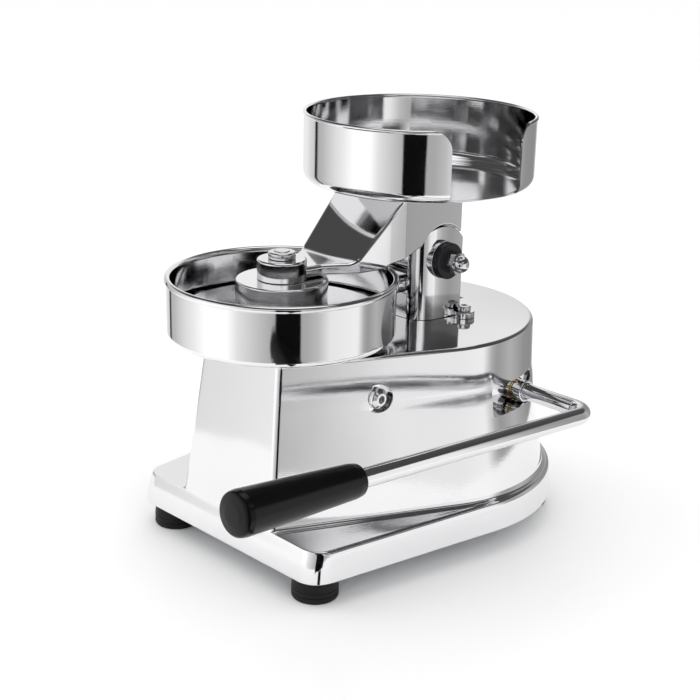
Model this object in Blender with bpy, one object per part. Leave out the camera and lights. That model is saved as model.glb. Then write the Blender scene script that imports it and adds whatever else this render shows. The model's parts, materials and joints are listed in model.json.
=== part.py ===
"""Hand-operated patty press: cast base, steel bowl, swing-up press arm with a paper tray, and side lever.

Metres, +Z up, standing on z = 0. The lever side is +X and the grip points to the front, -Y.
Everything is laid out from the bowl's axis, and the finished press is centred on its own box.
"""
import math

import bmesh
import bpy
from mathutils import Matrix, Vector

# Driving dimensions, measured from the bowl's vertical axis and from the bench.
GAP = 0.0003

FOOT_RADIUS = 0.0158
FOOT_HEIGHT = 0.0150
COVER_THICK = 0.0020
FEET = {"front_left": (-0.0748, -0.0345), "front_right": (0.0748, -0.0345),
        "rear_left": (-0.0700, 0.1870), "rear_right": (0.0700, 0.1870)}

FLANGE_LOW = FOOT_HEIGHT + COVER_THICK + 2 * GAP
FLANGE_TOP = 0.0390
CREASE_Z = 0.1150
BODY_TOP = 0.1500
WALL = 0.0060
REAR_CENTRE_Y = 0.1170
# Each plan section: front half-width, front y, rear radius and front corner radius.
FLANGE_SECTIONS = ((FLANGE_LOW, 0.0940, -0.0540, 0.1162, 0.0170),
                   (FLANGE_TOP - 0.0030, 0.0925, -0.0510, 0.1150, 0.0160),
                   (FLANGE_TOP - 0.0008, 0.0915, -0.0500, 0.1140, 0.0155),
                   (FLANGE_TOP, 0.0890, -0.0480, 0.1118, 0.0140))
BODY_SECTIONS = ((FLANGE_TOP - 0.0060, 0.0472, -0.0496, 0.1098, 0.0050),
                 (CREASE_Z, 0.0409, -0.0398, 0.0971, 0.0050),
                 (BODY_TOP - 0.0025, 0.0384, -0.0356, 0.0960, 0.0050),
                 (BODY_TOP - 0.0007, 0.0379, -0.0350, 0.0953, 0.0045),
                 (BODY_TOP, 0.0366, -0.0338, 0.0938, 0.0040))

BOWL_RADIUS = 0.0772
BOWL_LOW = 0.1560
BOWL_RIM_Z = 0.1951
BOWL_BEAD = 0.0022
BOWL_SHEET = 0.0015
BOWL_CORNER = 0.0045
RING_RADIUS = 0.0520

ROD_RADIUS = 0.0060
GUIDE_RADIUS = 0.0110
EJECTOR_RADIUS = 0.0735
GUIDE_FLANGE = 0.0010
EJECTOR_LOW = BOWL_LOW + BOWL_SHEET + GUIDE_FLANGE + 2 * GAP
EJECTOR_THICK = 0.0020

PRESS_RADIUS = 0.0705
PRESS_LOW = 0.1680
PRESS_THICK = 0.0040
PRESS_HUB_RADIUS = 0.0312
PRESS_HUB_TOP = 0.1945
BOSS_RADIUS = 0.0168
BOSS_LOW = 0.1948
BOSS_TOP = 0.2084
STUD_RADIUS = 0.0050

PIVOT = Vector((0, 0.1225, 0.1938))
ARM_HALF_WIDTH = 0.0335
ARM_REAR_Y = 0.1412
ARM_TOP = 0.2442
ARM_ARC = 0.0250
HUB_HALF_WIDTH = 0.0165
HUB_RADIUS = 0.0156
CHEEK_INNER = 0.0179
CHEEK_OUTER = 0.0351
CHEEK_HALF = 0.0195
CHEEK_RADIUS = 0.0238
YOKE_PLATE_TOP = 0.1555
YOKE_CORNER = 0.0160
YOKE_CROWN = 10
YOKE_SEAT_RADIUS = 0.0134
YOKE_WEB_TOP = 0.1830
YOKE_WEB = 0.0046
EAR_RADIUS = 0.0078
EAR_TOP = 0.1546
YOKE_SCREWS = ((-0.0412, 0.1390), (0.0412, 0.1390))
WEB_SCREWS = (-0.0105, 0.0105)
WEB_SCREW_Z = 0.1745
BOLT_RADIUS = 0.0050

TRAY_CENTRE_Y = 0.1292
TRAY_RADIUS = 0.0826
TRAY_LOW = ARM_TOP + GAP
TRAY_RIM_Z = 0.2928
TRAY_BEAD = 0.0014
TRAY_SHEET = 0.0013
TRAY_CORNER = 0.0080
TRAY_SCREWS = ((-0.0200, 0.1130), (0.0200, 0.1130))
NOTCH_WIDTH = 0.0600
NOTCH_CORNER = 0.0140
NOTCH_TURN = math.radians(-10)

BAR_RADIUS = 0.0060
SHAFT = Vector((0, 0.1513, 0.1039))
SHAFT_END_X = -0.0820
LEVER_X = 0.1505
LEVER_BEND = 0.0150
LEVER_RISE = math.radians(3.7)
GRIP_START = 0.2240
GRIP_LENGTH = 0.0945

CRANK_REACH = Vector((0, 0.0254, 0.0118))
CRANK_DROP = Vector((0, 0, -0.0250))
ROCKER = Vector((0, 0.0270, 0.1210))
ROCKER_ELBOW = Vector((0, -0.0130, -0.0200))
ROCKER_TIP = Vector((0, -0.0270, -0.0170))
ROCKER_TIP_RADIUS = 0.0050
ROD_LOW = ROCKER.z + ROCKER_TIP.z + ROCKER_TIP_RADIUS + 0.0008
PLATE_X = (-0.0080, -0.0010)
LINK_X = (0.0, 0.0060)
EYE_RADIUS = 0.0065
PIN_RADIUS = 0.0030
ROCKER_BOLT_RADIUS = 0.0040


def clear_scene():
    for item in list(bpy.data.objects):
        bpy.data.objects.remove(item, do_unlink=True)


def material(name, colour, metallic, roughness):
    made = bpy.data.materials.new(name)
    made.use_nodes = True
    shader = made.node_tree.nodes["Principled BSDF"]
    shader.inputs["Base Color"].default_value = (*colour, 1)
    shader.inputs["Metallic"].default_value = metallic
    shader.inputs["Roughness"].default_value = roughness
    return made


def make_materials():
    return {"casting": material("polished_casting", (0.80, 0.80, 0.81), 1.0, 0.14),
            "steel": material("stainless_sheet", (0.82, 0.82, 0.83), 1.0, 0.07),
            "bright": material("bright_fastener", (0.75, 0.75, 0.76), 1.0, 0.22),
            "dark": material("black_fastener", (0.03, 0.03, 0.03), 0.6, 0.38),
            "brass": material("brass_bush", (0.72, 0.55, 0.28), 1.0, 0.30),
            "zinc": material("zinc_plate", (0.62, 0.63, 0.64), 1.0, 0.34),
            "rubber": material("foot_rubber", (0.02, 0.02, 0.02), 0.0, 0.70),
            "plastic": material("grip_plastic", (0.015, 0.015, 0.015), 0.0, 0.32)}


# Mesh makers. Each returns an object in world coordinates of the bowl's frame.

def finish_mesh(name, bm, finish):
    bmesh.ops.recalc_face_normals(bm, faces=bm.faces)
    mesh = bpy.data.meshes.new(name)
    bm.to_mesh(mesh)
    bm.free()
    mesh.shade_smooth()
    mesh.set_sharp_from_angle(angle=math.radians(35))
    item = bpy.data.objects.new(name, mesh)
    bpy.context.collection.objects.link(item)
    if finish:
        mesh.materials.append(finish)
    return item


def loft(name, sections, finish=None):
    """Skin equal-length point loops and cap both ends."""
    bm = bmesh.new()
    loops = [[bm.verts.new(point) for point in section] for section in sections]
    count = len(loops[0])
    for lower, upper in zip(loops, loops[1:]):
        for i in range(count):
            j = (i + 1) % count
            bm.faces.new((lower[i], lower[j], upper[j], upper[i]))
    bm.faces.new(loops[0])
    bm.faces.new(loops[-1])
    return finish_mesh(name, bm, finish)


def turned(name, profile, finish=None, steps=32):
    """Turn a closed (radius, height) outline about the Z axis; radius 0 closes on the axis."""
    bm = bmesh.new()
    angles = [2 * math.pi * i / steps for i in range(steps)]
    rings = []
    for radius, height in profile:
        if radius == 0:
            rings.append([bm.verts.new((0, 0, height))])
        else:
            rings.append([bm.verts.new((radius * math.cos(a), radius * math.sin(a), height))
                          for a in angles])
    for first, second in zip(rings, rings[1:] + rings[:1]):
        if len(first) == 1 and len(second) == 1:
            continue
        for i in range(steps):
            j = (i + 1) % steps
            corners = (first[i % len(first)], first[j % len(first)],
                       second[j % len(second)], second[i % len(second)])
            bm.faces.new(tuple(dict.fromkeys(corners)))
    return finish_mesh(name, bm, finish)


def prism_z(name, outline, low, high, finish=None):
    return loft(name, [[(x, y, z) for x, y in outline] for z in (low, high)], finish)


def prism_x(name, outline, low, high, finish=None):
    return loft(name, [[(x, y, z) for y, z in outline] for x in (low, high)], finish)


def box(name, low, high, finish=None):
    outline = ((low[0], low[1]), (high[0], low[1]), (high[0], high[1]), (low[0], high[1]))
    return prism_z(name, outline, low[2], high[2], finish)


def arc(centre, radius, start, stop, count):
    """Points on an arc, angles in degrees, both ends included."""
    angles = [math.radians(start + (stop - start) * i / (count - 1)) for i in range(count)]
    return [(centre[0] + radius * math.cos(a), centre[1] + radius * math.sin(a)) for a in angles]


def disc_x(name, centre, radius, low, high, finish=None, steps=20):
    outline = arc((centre.y, centre.z), radius, 0, 360 - 360 / steps, steps)
    return prism_x(name, outline, low, high, finish)


def disc_z(name, x, y, radius, low, high, finish=None, steps=20):
    outline = arc((x, y), radius, 0, 360 - 360 / steps, steps)
    return prism_z(name, outline, low, high, finish)


def hex_x(name, centre, across_flats, low, high, finish=None):
    corners = arc((centre.y, centre.z), across_flats / math.sqrt(3), 30, 330, 6)
    return prism_x(name, corners, low, high, finish)


def side_of(x):
    return "right" if x > 0 else "left"


def boolean(target, other, operation):
    """Cut, add or intersect with a hidden helper solid, left live on the target."""
    other.hide_render = True
    other.hide_viewport = False
    other.display_type = "WIRE"
    step = target.modifiers.new(operation.lower(), "BOOLEAN")
    step.operation = operation
    step.solver = "EXACT"
    step.object = other
    return target


def cut(target, *helpers):
    for helper in helpers:
        boolean(target, helper, "DIFFERENCE")


def add(target, *helpers):
    for helper in helpers:
        boolean(target, helper, "UNION")


def screw_z(name, x, y, head_radius, head_low, head_height, shank_radius, shank_low, finish):
    """Round-headed screw on a vertical axis, head up, with a hexagon socket."""
    head_top = head_low + head_height
    socket = head_radius * 0.45
    profile = [(0, shank_low), (shank_radius, shank_low), (shank_radius, head_low), (head_radius, head_low),
               (head_radius, head_top), (socket, head_top), (socket, head_top - head_height * 0.5),
               (0, head_top - head_height * 0.5)]
    piece = turned(name, profile, finish, steps=12)
    piece.data.transform(Matrix.Translation((x, y, 0)))
    return piece


# Plan outline shared by the base flange, the body and its cavity.

def teardrop(half_front, front_y, rear_radius, corner, corner_points=4, rear_points=27):
    """Flat front with rounded corners, straight flanks, and a round rear that the flanks run into."""
    reach = REAR_CENTRE_Y - front_y
    distance = math.hypot(half_front, reach)
    flank = math.degrees(math.atan2(reach, -half_front) - math.asin(rear_radius / distance))
    inset = corner * math.tan(math.radians(flank) / 2)
    right = arc((half_front - inset, front_y + corner), corner, -90, flank - 90, corner_points)
    rear = arc((0, REAR_CENTRE_Y), rear_radius, flank - 90, 270 - flank, rear_points)
    left = [(-x, y) for x, y in reversed(right)]
    return right + rear + left


def teardrop_loft(name, sections, finish=None):
    loops = []
    for z, half_front, front_y, rear_radius, corner in sections:
        loops.append([(x, y, z) for x, y in teardrop(half_front, front_y, rear_radius, corner)])
    return loft(name, loops, finish)


# Base.

def cavity():
    """Space inside the casting, less the bosses that stay solid."""
    sections = [(FLANGE_LOW - 0.0020, *shrunk(BODY_SECTIONS[0])), (CREASE_Z, *shrunk(BODY_SECTIONS[1])),
                (BODY_TOP - WALL, *shrunk(BODY_SECTIONS[2]))]
    hollow = teardrop_loft("cavity", sections)
    keep_rear_feet = [disc_z("boss_" + side, x, y, 0.0120, 0, FLANGE_TOP + 0.0060)
                      for side, (x, y) in FEET.items() if side.startswith("rear")]
    keep_shaft = [box("boss_shaft_" + side, (min(x), 0.1030, 0.0900), (max(x), 0.1680, 0.1235))
                  for side, x in (("right", (0.0700, 0.1100)), ("left", (-0.1100, -0.0700)))]
    keep_rocker = [disc_x("boss_rocker_" + side, ROCKER, 0.0150, min(x), max(x), steps=16)
                   for side, x in (("right", (0.0540, 0.1000)), ("left", (-0.1000, -0.0540)))]
    cut(hollow, *keep_rear_feet, *keep_shaft, *keep_rocker)
    return hollow


def shrunk(section):
    """A plan section moved in by the wall thickness, without its height."""
    half_front, front_y, rear_radius, _ = section[1:]
    return half_front - WALL, front_y + WALL, rear_radius - WALL, 0.0030


def make_base(finish):
    casting = teardrop_loft("base_casting", FLANGE_SECTIONS, finish["casting"])
    add(casting, teardrop_loft("body_block", BODY_SECTIONS))
    cut(casting, cavity())
    pocket = box("lever_pocket", (0.0830, 0.1090, 0.0960), (0.1100, 0.1640, 0.1170))
    shaft_bore = disc_x("shaft_bore", SHAFT, 0.0083, SHAFT_END_X - 0.0040, 0.1100)
    guide_bore = disc_z("guide_bore", 0, 0, GUIDE_RADIUS + GAP, BODY_TOP - 0.0120, BODY_TOP + 0.0050)
    link_slot = box("link_slot", (-0.0030, 0.1475, BODY_TOP - 0.0120), (0.0090, 0.1750, BODY_TOP + 0.0050))
    rocker_bore = disc_x("rocker_bore", ROCKER, ROCKER_BOLT_RADIUS + GAP, -0.0900, 0.0900)
    seats = [disc_x("seat_" + side, ROCKER, 0.0096, min(x), max(x))
             for side, x in (("right", (0.0655, 0.0900)), ("left", (-0.0900, -0.0655)))]
    cut(casting, pocket, shaft_bore, guide_bore, link_slot, rocker_bore, *seats)
    foot_bores = [disc_z("foot_bore_" + side, x, y, 0.0030 + GAP, 0, FLANGE_LOW + 0.0140, steps=12)
                  for side, (x, y) in FEET.items()]
    yoke_bores = [disc_z("yoke_bore", x, y, 0.0030 + GAP, BODY_TOP - 0.0120, BODY_TOP + 0.0050, steps=12)
                  for x, y in YOKE_SCREWS]
    cut(casting, *foot_bores, *yoke_bores)
    return [casting]


def make_cover_and_feet(finish):
    low = FOOT_HEIGHT + GAP
    _, half_front, front_y, rear_radius, corner = FLANGE_SECTIONS[0]
    outline = teardrop(half_front - 0.0050, front_y + 0.0050, rear_radius - 0.0050, corner - 0.0050)
    cover = prism_z("bottom_cover", outline, low, low + COVER_THICK, finish["zinc"])
    cut(cover, *[disc_z("cover_bore", x, y, 0.0030 + GAP, 0, 0.0300, steps=12) for x, y in FEET.values()])
    pieces = [cover]
    recess = 0.0070
    for side, (x, y) in FEET.items():
        profile = [(0.0033, recess), (0.0070, recess), (0.0070, 0), (FOOT_RADIUS, 0),
                   (FOOT_RADIUS - 0.0008, FOOT_HEIGHT), (0.0033, FOOT_HEIGHT)]
        foot = turned("foot_" + side, profile, finish["rubber"], steps=16)
        foot.location = (x, y, 0)
        pieces.append(foot)
    head_top = recess - GAP
    for side, (x, y) in FEET.items():
        profile = [(0, head_top - 0.0035), (0.0058, head_top - 0.0035), (0.0058, head_top),
                   (0.0030, head_top), (0.0030, FLANGE_LOW + 0.0120), (0, FLANGE_LOW + 0.0120)]
        screw = turned("foot_screw_" + side, profile, finish["bright"], steps=12)
        screw.location = (x, y, 0)
        pieces.append(screw)
    return pieces


# Bowl and ejector.

def rolled_rim(radius, rim_z, bead, sheet, start, stop, count=7):
    """Bead around a sheet edge, its arc running from the outer wall to the inner wall."""
    return arc((radius - sheet / 2, rim_z), bead, start, stop, count)


def dished_profile(radius, low, rim_z, bead, sheet, corner, hole):
    """Closed outline of a flat-bottomed round dish with a rounded corner and a beaded rim."""
    outer_corner = arc((radius - corner, low + corner), corner, 0, -90, 4)
    inner_corner = arc((radius - corner, low + corner), corner - sheet, -90, 0, 4)
    rim = rolled_rim(radius, rim_z, bead, sheet, 214, -34, 7)
    return rim + outer_corner + [(hole, low), (hole, low + sheet)] + inner_corner


def make_bowl(finish):
    profile = dished_profile(BOWL_RADIUS, BOWL_LOW, BOWL_RIM_Z, BOWL_BEAD, BOWL_SHEET, BOWL_CORNER,
                             GUIDE_RADIUS + GAP)
    bowl = turned("bowl", profile, finish["steel"], steps=40)
    low = BODY_TOP + GAP
    high = BOWL_LOW - GAP
    ring = turned("bowl_ring", [(GUIDE_RADIUS + GAP, low), (RING_RADIUS, low), (RING_RADIUS, high),
                                (GUIDE_RADIUS + GAP, high)], finish["casting"])
    floor = BOWL_LOW + BOWL_SHEET + GAP
    nut_high = BODY_TOP - WALL - GAP
    nut_low = nut_high - 0.0042
    bore = ROD_RADIUS + GAP
    guide_profile = [(bore, nut_low), (GUIDE_RADIUS, nut_low), (GUIDE_RADIUS, floor), (0.0170, floor),
                     (0.0170, floor + GUIDE_FLANGE), (bore, floor + GUIDE_FLANGE)]
    guide = turned("ejector_guide", guide_profile, finish["brass"], steps=24)
    nut = prism_z("guide_nut", arc((0, 0), 0.0170, 0, 300, 6), nut_low, nut_high, finish["bright"])
    cut(nut, disc_z("nut_bore", 0, 0, GUIDE_RADIUS + GAP, nut_low - 0.0050, nut_high + 0.0050))
    return [bowl, ring, guide, nut]


def make_ejector(finish):
    top = EJECTOR_LOW + EJECTOR_THICK
    profile = [(0, EJECTOR_LOW), (EJECTOR_RADIUS - 0.0015, EJECTOR_LOW),
               (EJECTOR_RADIUS, EJECTOR_LOW + 0.0010), (EJECTOR_RADIUS, top), (0, top)]
    plate = turned("ejector_plate", profile, finish["steel"], steps=32)
    rod = turned("ejector_rod", [(0, ROD_LOW), (ROD_RADIUS, ROD_LOW), (ROD_RADIUS, EJECTOR_LOW - GAP),
                                 (0, EJECTOR_LOW - GAP)], finish["bright"], steps=24)
    return [plate, rod]


# Press plate, arm, yoke and tray.

def make_press_plate(finish):
    top = PRESS_LOW + PRESS_THICK
    bore = STUD_RADIUS + GAP
    shoulder = arc((PRESS_HUB_RADIUS - 0.0014, PRESS_HUB_TOP - 0.0014), 0.0014, 0, 90, 3)
    profile = [(0, PRESS_LOW), (PRESS_RADIUS - 0.0010, PRESS_LOW), (PRESS_RADIUS, PRESS_LOW + 0.0010),
               (PRESS_RADIUS, top), (PRESS_HUB_RADIUS, top)]
    profile += shoulder + [(bore, PRESS_HUB_TOP), (bore, top), (0, top)]
    plate = turned("press_plate", profile, finish["casting"], steps=32)
    stud_top = BOSS_TOP + 0.0052
    stud = turned("press_stud", [(0, top + GAP), (STUD_RADIUS, top + GAP), (STUD_RADIUS, stud_top),
                                 (0, stud_top)], finish["bright"], steps=24)
    nut_low = BOSS_TOP + GAP
    nut_profile = [(bore, nut_low), (0.0094, nut_low), (0.0094, nut_low + 0.0034),
                   (0.0084, nut_low + 0.0044), (bore, nut_low + 0.0044)]
    nut = turned("stud_nut", nut_profile, finish["bright"], steps=24)
    return [plate, stud, nut]


def make_arm(finish):
    """One casting: a tapered front plate that ramps up into the block under the tray."""
    rear = math.degrees(math.acos((ARM_REAR_Y - PIVOT.y) / ARM_ARC))
    side = [(0.0, 0.1956), (0.0640, 0.1956), (0.0710, 0.1981), (0.0810, 0.1995)]
    side += arc((PIVOT.y, PIVOT.z), ARM_ARC, 150, rear, 8)
    side += [(ARM_REAR_Y, ARM_TOP), (0.0847, ARM_TOP), (0.0437, 0.2044), (0.0385, 0.2029), (0.0, 0.2029)]
    arm = prism_x("press_arm", side, -ARM_HALF_WIDTH - 0.01, ARM_HALF_WIDTH + 0.01, finish["casting"])
    right = [(0.0125, -0.0050), (0.0150, 0.0225), (0.0285, 0.0445), (0.0320, 0.0700),
             (ARM_HALF_WIDTH, 0.0840), (ARM_HALF_WIDTH, 0.1500)]
    plan = right + [(-x, y) for x, y in reversed(right)]
    boolean(arm, prism_z("arm_plan", plan, 0.1800, 0.2600), "INTERSECT")
    neck = box("arm_neck", (-HUB_HALF_WIDTH, 0.1095, PIVOT.z), (HUB_HALF_WIDTH, 0.1355, 0.2220))
    hub = disc_x("arm_hub", PIVOT, HUB_RADIUS, -HUB_HALF_WIDTH, HUB_HALF_WIDTH)
    boss = disc_z("arm_boss", 0, 0, BOSS_RADIUS, BOSS_LOW, BOSS_TOP, steps=32)
    add(arm, neck, hub, boss, strap("arm_tail", PIVOT, PIVOT + CRANK_REACH, 0.0070, PLATE_X))
    pivot_bore = disc_x("pivot_bore", PIVOT, BOLT_RADIUS + GAP, -0.0500, 0.0500)
    stud_bore = disc_z("stud_bore", 0, 0, STUD_RADIUS + GAP, 0.1800, 0.2200)
    tail_bore = disc_x("tail_bore", PIVOT + CRANK_REACH, PIN_RADIUS + GAP, PLATE_X[0] - 0.01,
                       PLATE_X[1] + 0.01)
    tray_bores = [disc_z("tray_bore", x, y, 0.0025 + GAP, ARM_TOP - 0.0120, ARM_TOP + 0.0050, steps=12)
                  for x, y in TRAY_SCREWS]
    cut(arm, pivot_bore, stud_bore, tail_bore, *tray_bores)
    return [arm]


def strap(name, first, second, radius, x_range, finish=None, points=9):
    """Flat bar with round ends, in the Y-Z plane, between two centres."""
    direction = math.degrees(math.atan2(second.z - first.z, second.y - first.y))
    outline = arc((second.y, second.z), radius, direction - 90, direction + 90, points)
    outline += arc((first.y, first.z), radius, direction + 90, direction + 270, points)
    return prism_x(name, outline, *x_range, finish)


def make_yoke(finish):
    """Two crowned cheeks and a front web in one casting, with a washer seat and a screw ear each side."""
    low = BODY_TOP + GAP
    front, rear = PIVOT.y - CHEEK_HALF, PIVOT.y + CHEEK_HALF
    corner = math.degrees(math.acos(CHEEK_HALF / CHEEK_RADIUS))
    outline = [(front, low), (rear, low)] + arc((PIVOT.y, PIVOT.z), CHEEK_RADIUS, corner, 180 - corner, 11)
    yoke = prism_x("yoke", outline, -CHEEK_OUTER - 0.01, CHEEK_OUTER + 0.01, finish["casting"])
    turn = math.radians(YOKE_CROWN)
    crown = (rear - front - YOKE_CORNER * (1 - math.sin(turn))) / math.sin(turn)
    bend = CHEEK_OUTER - crown * (1 - math.cos(turn)) - YOKE_CORNER * math.cos(turn)
    plan = [(CHEEK_OUTER, rear + 0.01)] + arc((CHEEK_OUTER - crown, rear), crown, 0, -YOKE_CROWN, 4)[:-1]
    plan += arc((bend, front + YOKE_CORNER), YOKE_CORNER, -YOKE_CROWN, -90, 9)
    plan += [(-x, y) for x, y in reversed(plan)]
    boolean(yoke, prism_z("yoke_plan", plan, 0.1400, 0.2300), "INTERSECT")
    add(yoke, *[disc_x("yoke_seat", PIVOT, YOKE_SEAT_RADIUS, min(x), max(x), steps=24)
                for x in ((0.0240, CHEEK_OUTER), (-0.0240, -CHEEK_OUTER))])
    web_rear, beyond = front + YOKE_WEB, 0.0100
    gap = [(web_rear, YOKE_PLATE_TOP), (rear + beyond, YOKE_PLATE_TOP), (rear + beyond, 0.2300),
           (front - beyond, 0.2300), (front - beyond, YOKE_WEB_TOP), (web_rear, YOKE_WEB_TOP)]
    cut(yoke, prism_x("yoke_gap", gap, -CHEEK_INNER, CHEEK_INNER))
    for x, y in YOKE_SCREWS:
        inner = math.copysign(CHEEK_OUTER - 0.0050, x)
        root_low = (min(x, inner), y - EAR_RADIUS * 0.92, low)
        root_high = (max(x, inner), y + 0.0020, EAR_TOP)
        add(yoke, disc_z("yoke_ear", x, y, EAR_RADIUS, low, EAR_TOP),
            box("yoke_ear_root", root_low, root_high))
    bore = disc_x("yoke_bore", PIVOT, BOLT_RADIUS + GAP, -0.0500, 0.0500)
    screw_bores = [disc_z("yoke_screw_bore", x, y, 0.0030 + GAP, low - 0.0050, EAR_TOP + 0.0050, steps=12)
                   for x, y in YOKE_SCREWS]
    cut(yoke, bore, *screw_bores)
    for x in WEB_SCREWS:
        hole = disc_z("web_screw_bore", x, -WEB_SCREW_Z, 0.0030 + GAP, front - 0.0100, front + 0.0100,
                      steps=12)
        hole.rotation_euler.x = math.radians(-90)
        cut(yoke, hole)
    screws = [screw_z("yoke_screw_" + side_of(x), x, y, 0.0050, EAR_TOP + GAP, 0.0036, 0.0030,
                      BODY_TOP - 0.0080, finish["bright"]) for x, y in YOKE_SCREWS]
    for x in WEB_SCREWS:
        screw = screw_z("web_screw_" + side_of(x), x, 0, 0.0064, -front + GAP, 0.0068, 0.0030,
                        -front - 0.0060, finish["bright"])
        turn = Matrix.Rotation(math.radians(90), 4, "X")
        screw.data.transform(Matrix.Translation((0, 0, WEB_SCREW_Z)) @ turn)
        screws.append(screw)
    return [yoke] + screws


def make_pivot(finish):
    washer_right = 0.0056
    washer_left = 0.0020
    right = CHEEK_OUTER + GAP
    left = -CHEEK_OUTER - GAP
    bore = disc_x("washer_bore", PIVOT, BOLT_RADIUS + GAP, -0.0600, 0.0600)
    washer = disc_x("pivot_washer", PIVOT, 0.0130, right, right + washer_right, finish["dark"])
    plain = disc_x("pivot_washer_left", PIVOT, 0.0110, left - washer_left, left, finish["bright"])
    nut_low = right + washer_right + GAP
    nut = hex_x("pivot_nut", PIVOT, 0.0140, nut_low, nut_low + 0.0080, finish["bright"])
    dome_profile = [(0, nut_low + 0.0070), (0.0064, nut_low + 0.0070)]
    dome_profile += arc((0, nut_low + 0.0089), 0.0064, 0, 80, 6) + [(0, nut_low + 0.0153)]
    dome = turned("nut_dome", dome_profile, steps=24)
    dome.data.transform(Matrix.Translation(PIVOT) @ Matrix.Rotation(math.radians(90), 4, "Y"))
    add(nut, dome)
    shank_high = nut_low + 0.0095
    blind = disc_x("nut_bore", PIVOT, BOLT_RADIUS + GAP, nut_low - 0.0050, shank_high + GAP)
    cut(washer, bore)
    cut(plain, bore)
    cut(nut, blind)
    head_high = left - washer_left - GAP
    bolt = hex_x("pivot_bolt", PIVOT, 0.0170, head_high - 0.0064, head_high, finish["bright"])
    add(bolt, disc_x("bolt_shank", PIVOT, BOLT_RADIUS, head_high - 0.0020, shank_high, steps=24))
    return [washer, plain, nut, bolt]


def make_tray(finish):
    profile = dished_profile(TRAY_RADIUS, TRAY_LOW, TRAY_RIM_Z, TRAY_BEAD, TRAY_SHEET, TRAY_CORNER, 0)
    tray = turned("paper_tray", profile, finish["steel"], steps=40)
    tray.location = (0, TRAY_CENTRE_Y, 0)
    half = NOTCH_WIDTH / 2
    top = TRAY_RIM_Z + TRAY_BEAD
    right = [(half, TRAY_LOW + TRAY_SHEET + GAP)]
    right += [(half + NOTCH_CORNER - x, top - NOTCH_CORNER + z)
              for x, z in arc((0, 0), NOTCH_CORNER, 0, 90, 7)]
    right.append((half + NOTCH_CORNER, top + 0.0100))
    outline = right + [(-y, z) for y, z in reversed(right)]
    notch = prism_x("tray_notch", outline, TRAY_RADIUS * 0.5, TRAY_RADIUS + 0.0200)
    notch.matrix_world = Matrix.Translation((0, TRAY_CENTRE_Y, 0)) @ Matrix.Rotation(NOTCH_TURN, 4, "Z")
    cut(tray, notch)
    cut(tray, *[disc_z("tray_screw_bore", x, y, 0.0025 + GAP, TRAY_LOW - 0.01, TRAY_LOW + 0.01, steps=12)
                for x, y in TRAY_SCREWS])
    head_low = TRAY_LOW + TRAY_SHEET + GAP
    screws = [screw_z("tray_screw_" + side_of(x), x, y, 0.0048, head_low, 0.0026, 0.0025, ARM_TOP - 0.0090,
                      finish["bright"]) for x, y in TRAY_SCREWS]
    return [tray] + screws


# Lever and the linkage inside the base.

def lever_direction():
    return Vector((0, -math.cos(LEVER_RISE), math.sin(LEVER_RISE)))


def make_lever(finish):
    forward = lever_direction()
    corner = Vector((LEVER_X, SHAFT.y, SHAFT.z))
    across = Vector((1, 0, 0))
    centre = corner - across * LEVER_BEND + forward * LEVER_BEND
    route = [Vector((SHAFT_END_X, SHAFT.y, SHAFT.z))]
    for i in range(9):
        angle = math.pi / 2 * i / 8
        route.append(centre + LEVER_BEND * (across * math.sin(angle) - forward * math.cos(angle)))
    route.append(corner + forward * (GRIP_START + GRIP_LENGTH * 0.75))
    curve = bpy.data.curves.new("lever_bar", "CURVE")
    curve.dimensions = "3D"
    curve.bevel_depth = BAR_RADIUS
    curve.bevel_resolution = 6
    curve.use_fill_caps = True
    curve.materials.append(finish["steel"])
    spline = curve.splines.new("POLY")
    spline.points.add(len(route) - 1)
    for point, place in zip(spline.points, route):
        point.co = (*place, 1)
    bar = bpy.data.objects.new("lever_bar", curve)
    bpy.context.collection.objects.link(bar)

    bore = BAR_RADIUS + GAP
    deep = GRIP_LENGTH * 0.8
    profile = [(bore, 0), (0.0092, 0), (0.0104, 0.0014), (0.0109, 0.0120), (0.0124, 0.0500),
               (0.0136, GRIP_LENGTH - 0.0070), (0.0135, GRIP_LENGTH - 0.0026), (0.0114, GRIP_LENGTH),
               (0, GRIP_LENGTH), (0, deep), (bore, deep)]
    grip = turned("grip", profile, finish["plastic"], steps=24)
    turn = forward.to_track_quat("Z", "Y").to_matrix().to_4x4()
    grip.data.transform(Matrix.Translation(corner + forward * GRIP_START) @ turn)

    collar = disc_x("shaft_collar", SHAFT, 0.0080, 0.0875, 0.0935, finish["bright"])
    cut(collar, disc_x("collar_bore", SHAFT, bore, 0.0800, 0.1000))
    return [bar, grip, collar]


def make_bushes(finish):
    bore = BAR_RADIUS + GAP
    pieces = []
    for side, low, high in (("right", 0.0640, 0.0826), ("left", SHAFT_END_X - 0.0020, -0.0640)):
        bush = disc_x("shaft_bush_" + side, SHAFT, 0.0080, low, high, finish["brass"])
        cut(bush, disc_x("bush_bore_" + side, SHAFT, bore, low - 0.0050, high + 0.0050))
        pieces.append(bush)
    return pieces


def eye_bore(name, centre, radius=PIN_RADIUS + GAP):
    return disc_x(name, centre, radius, -0.0200, 0.0200, steps=24)


def pin(name, centre, finish):
    return disc_x(name, centre, PIN_RADIUS, PLATE_X[0] - 0.0010, LINK_X[1] + 0.0010, finish, steps=24)


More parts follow.
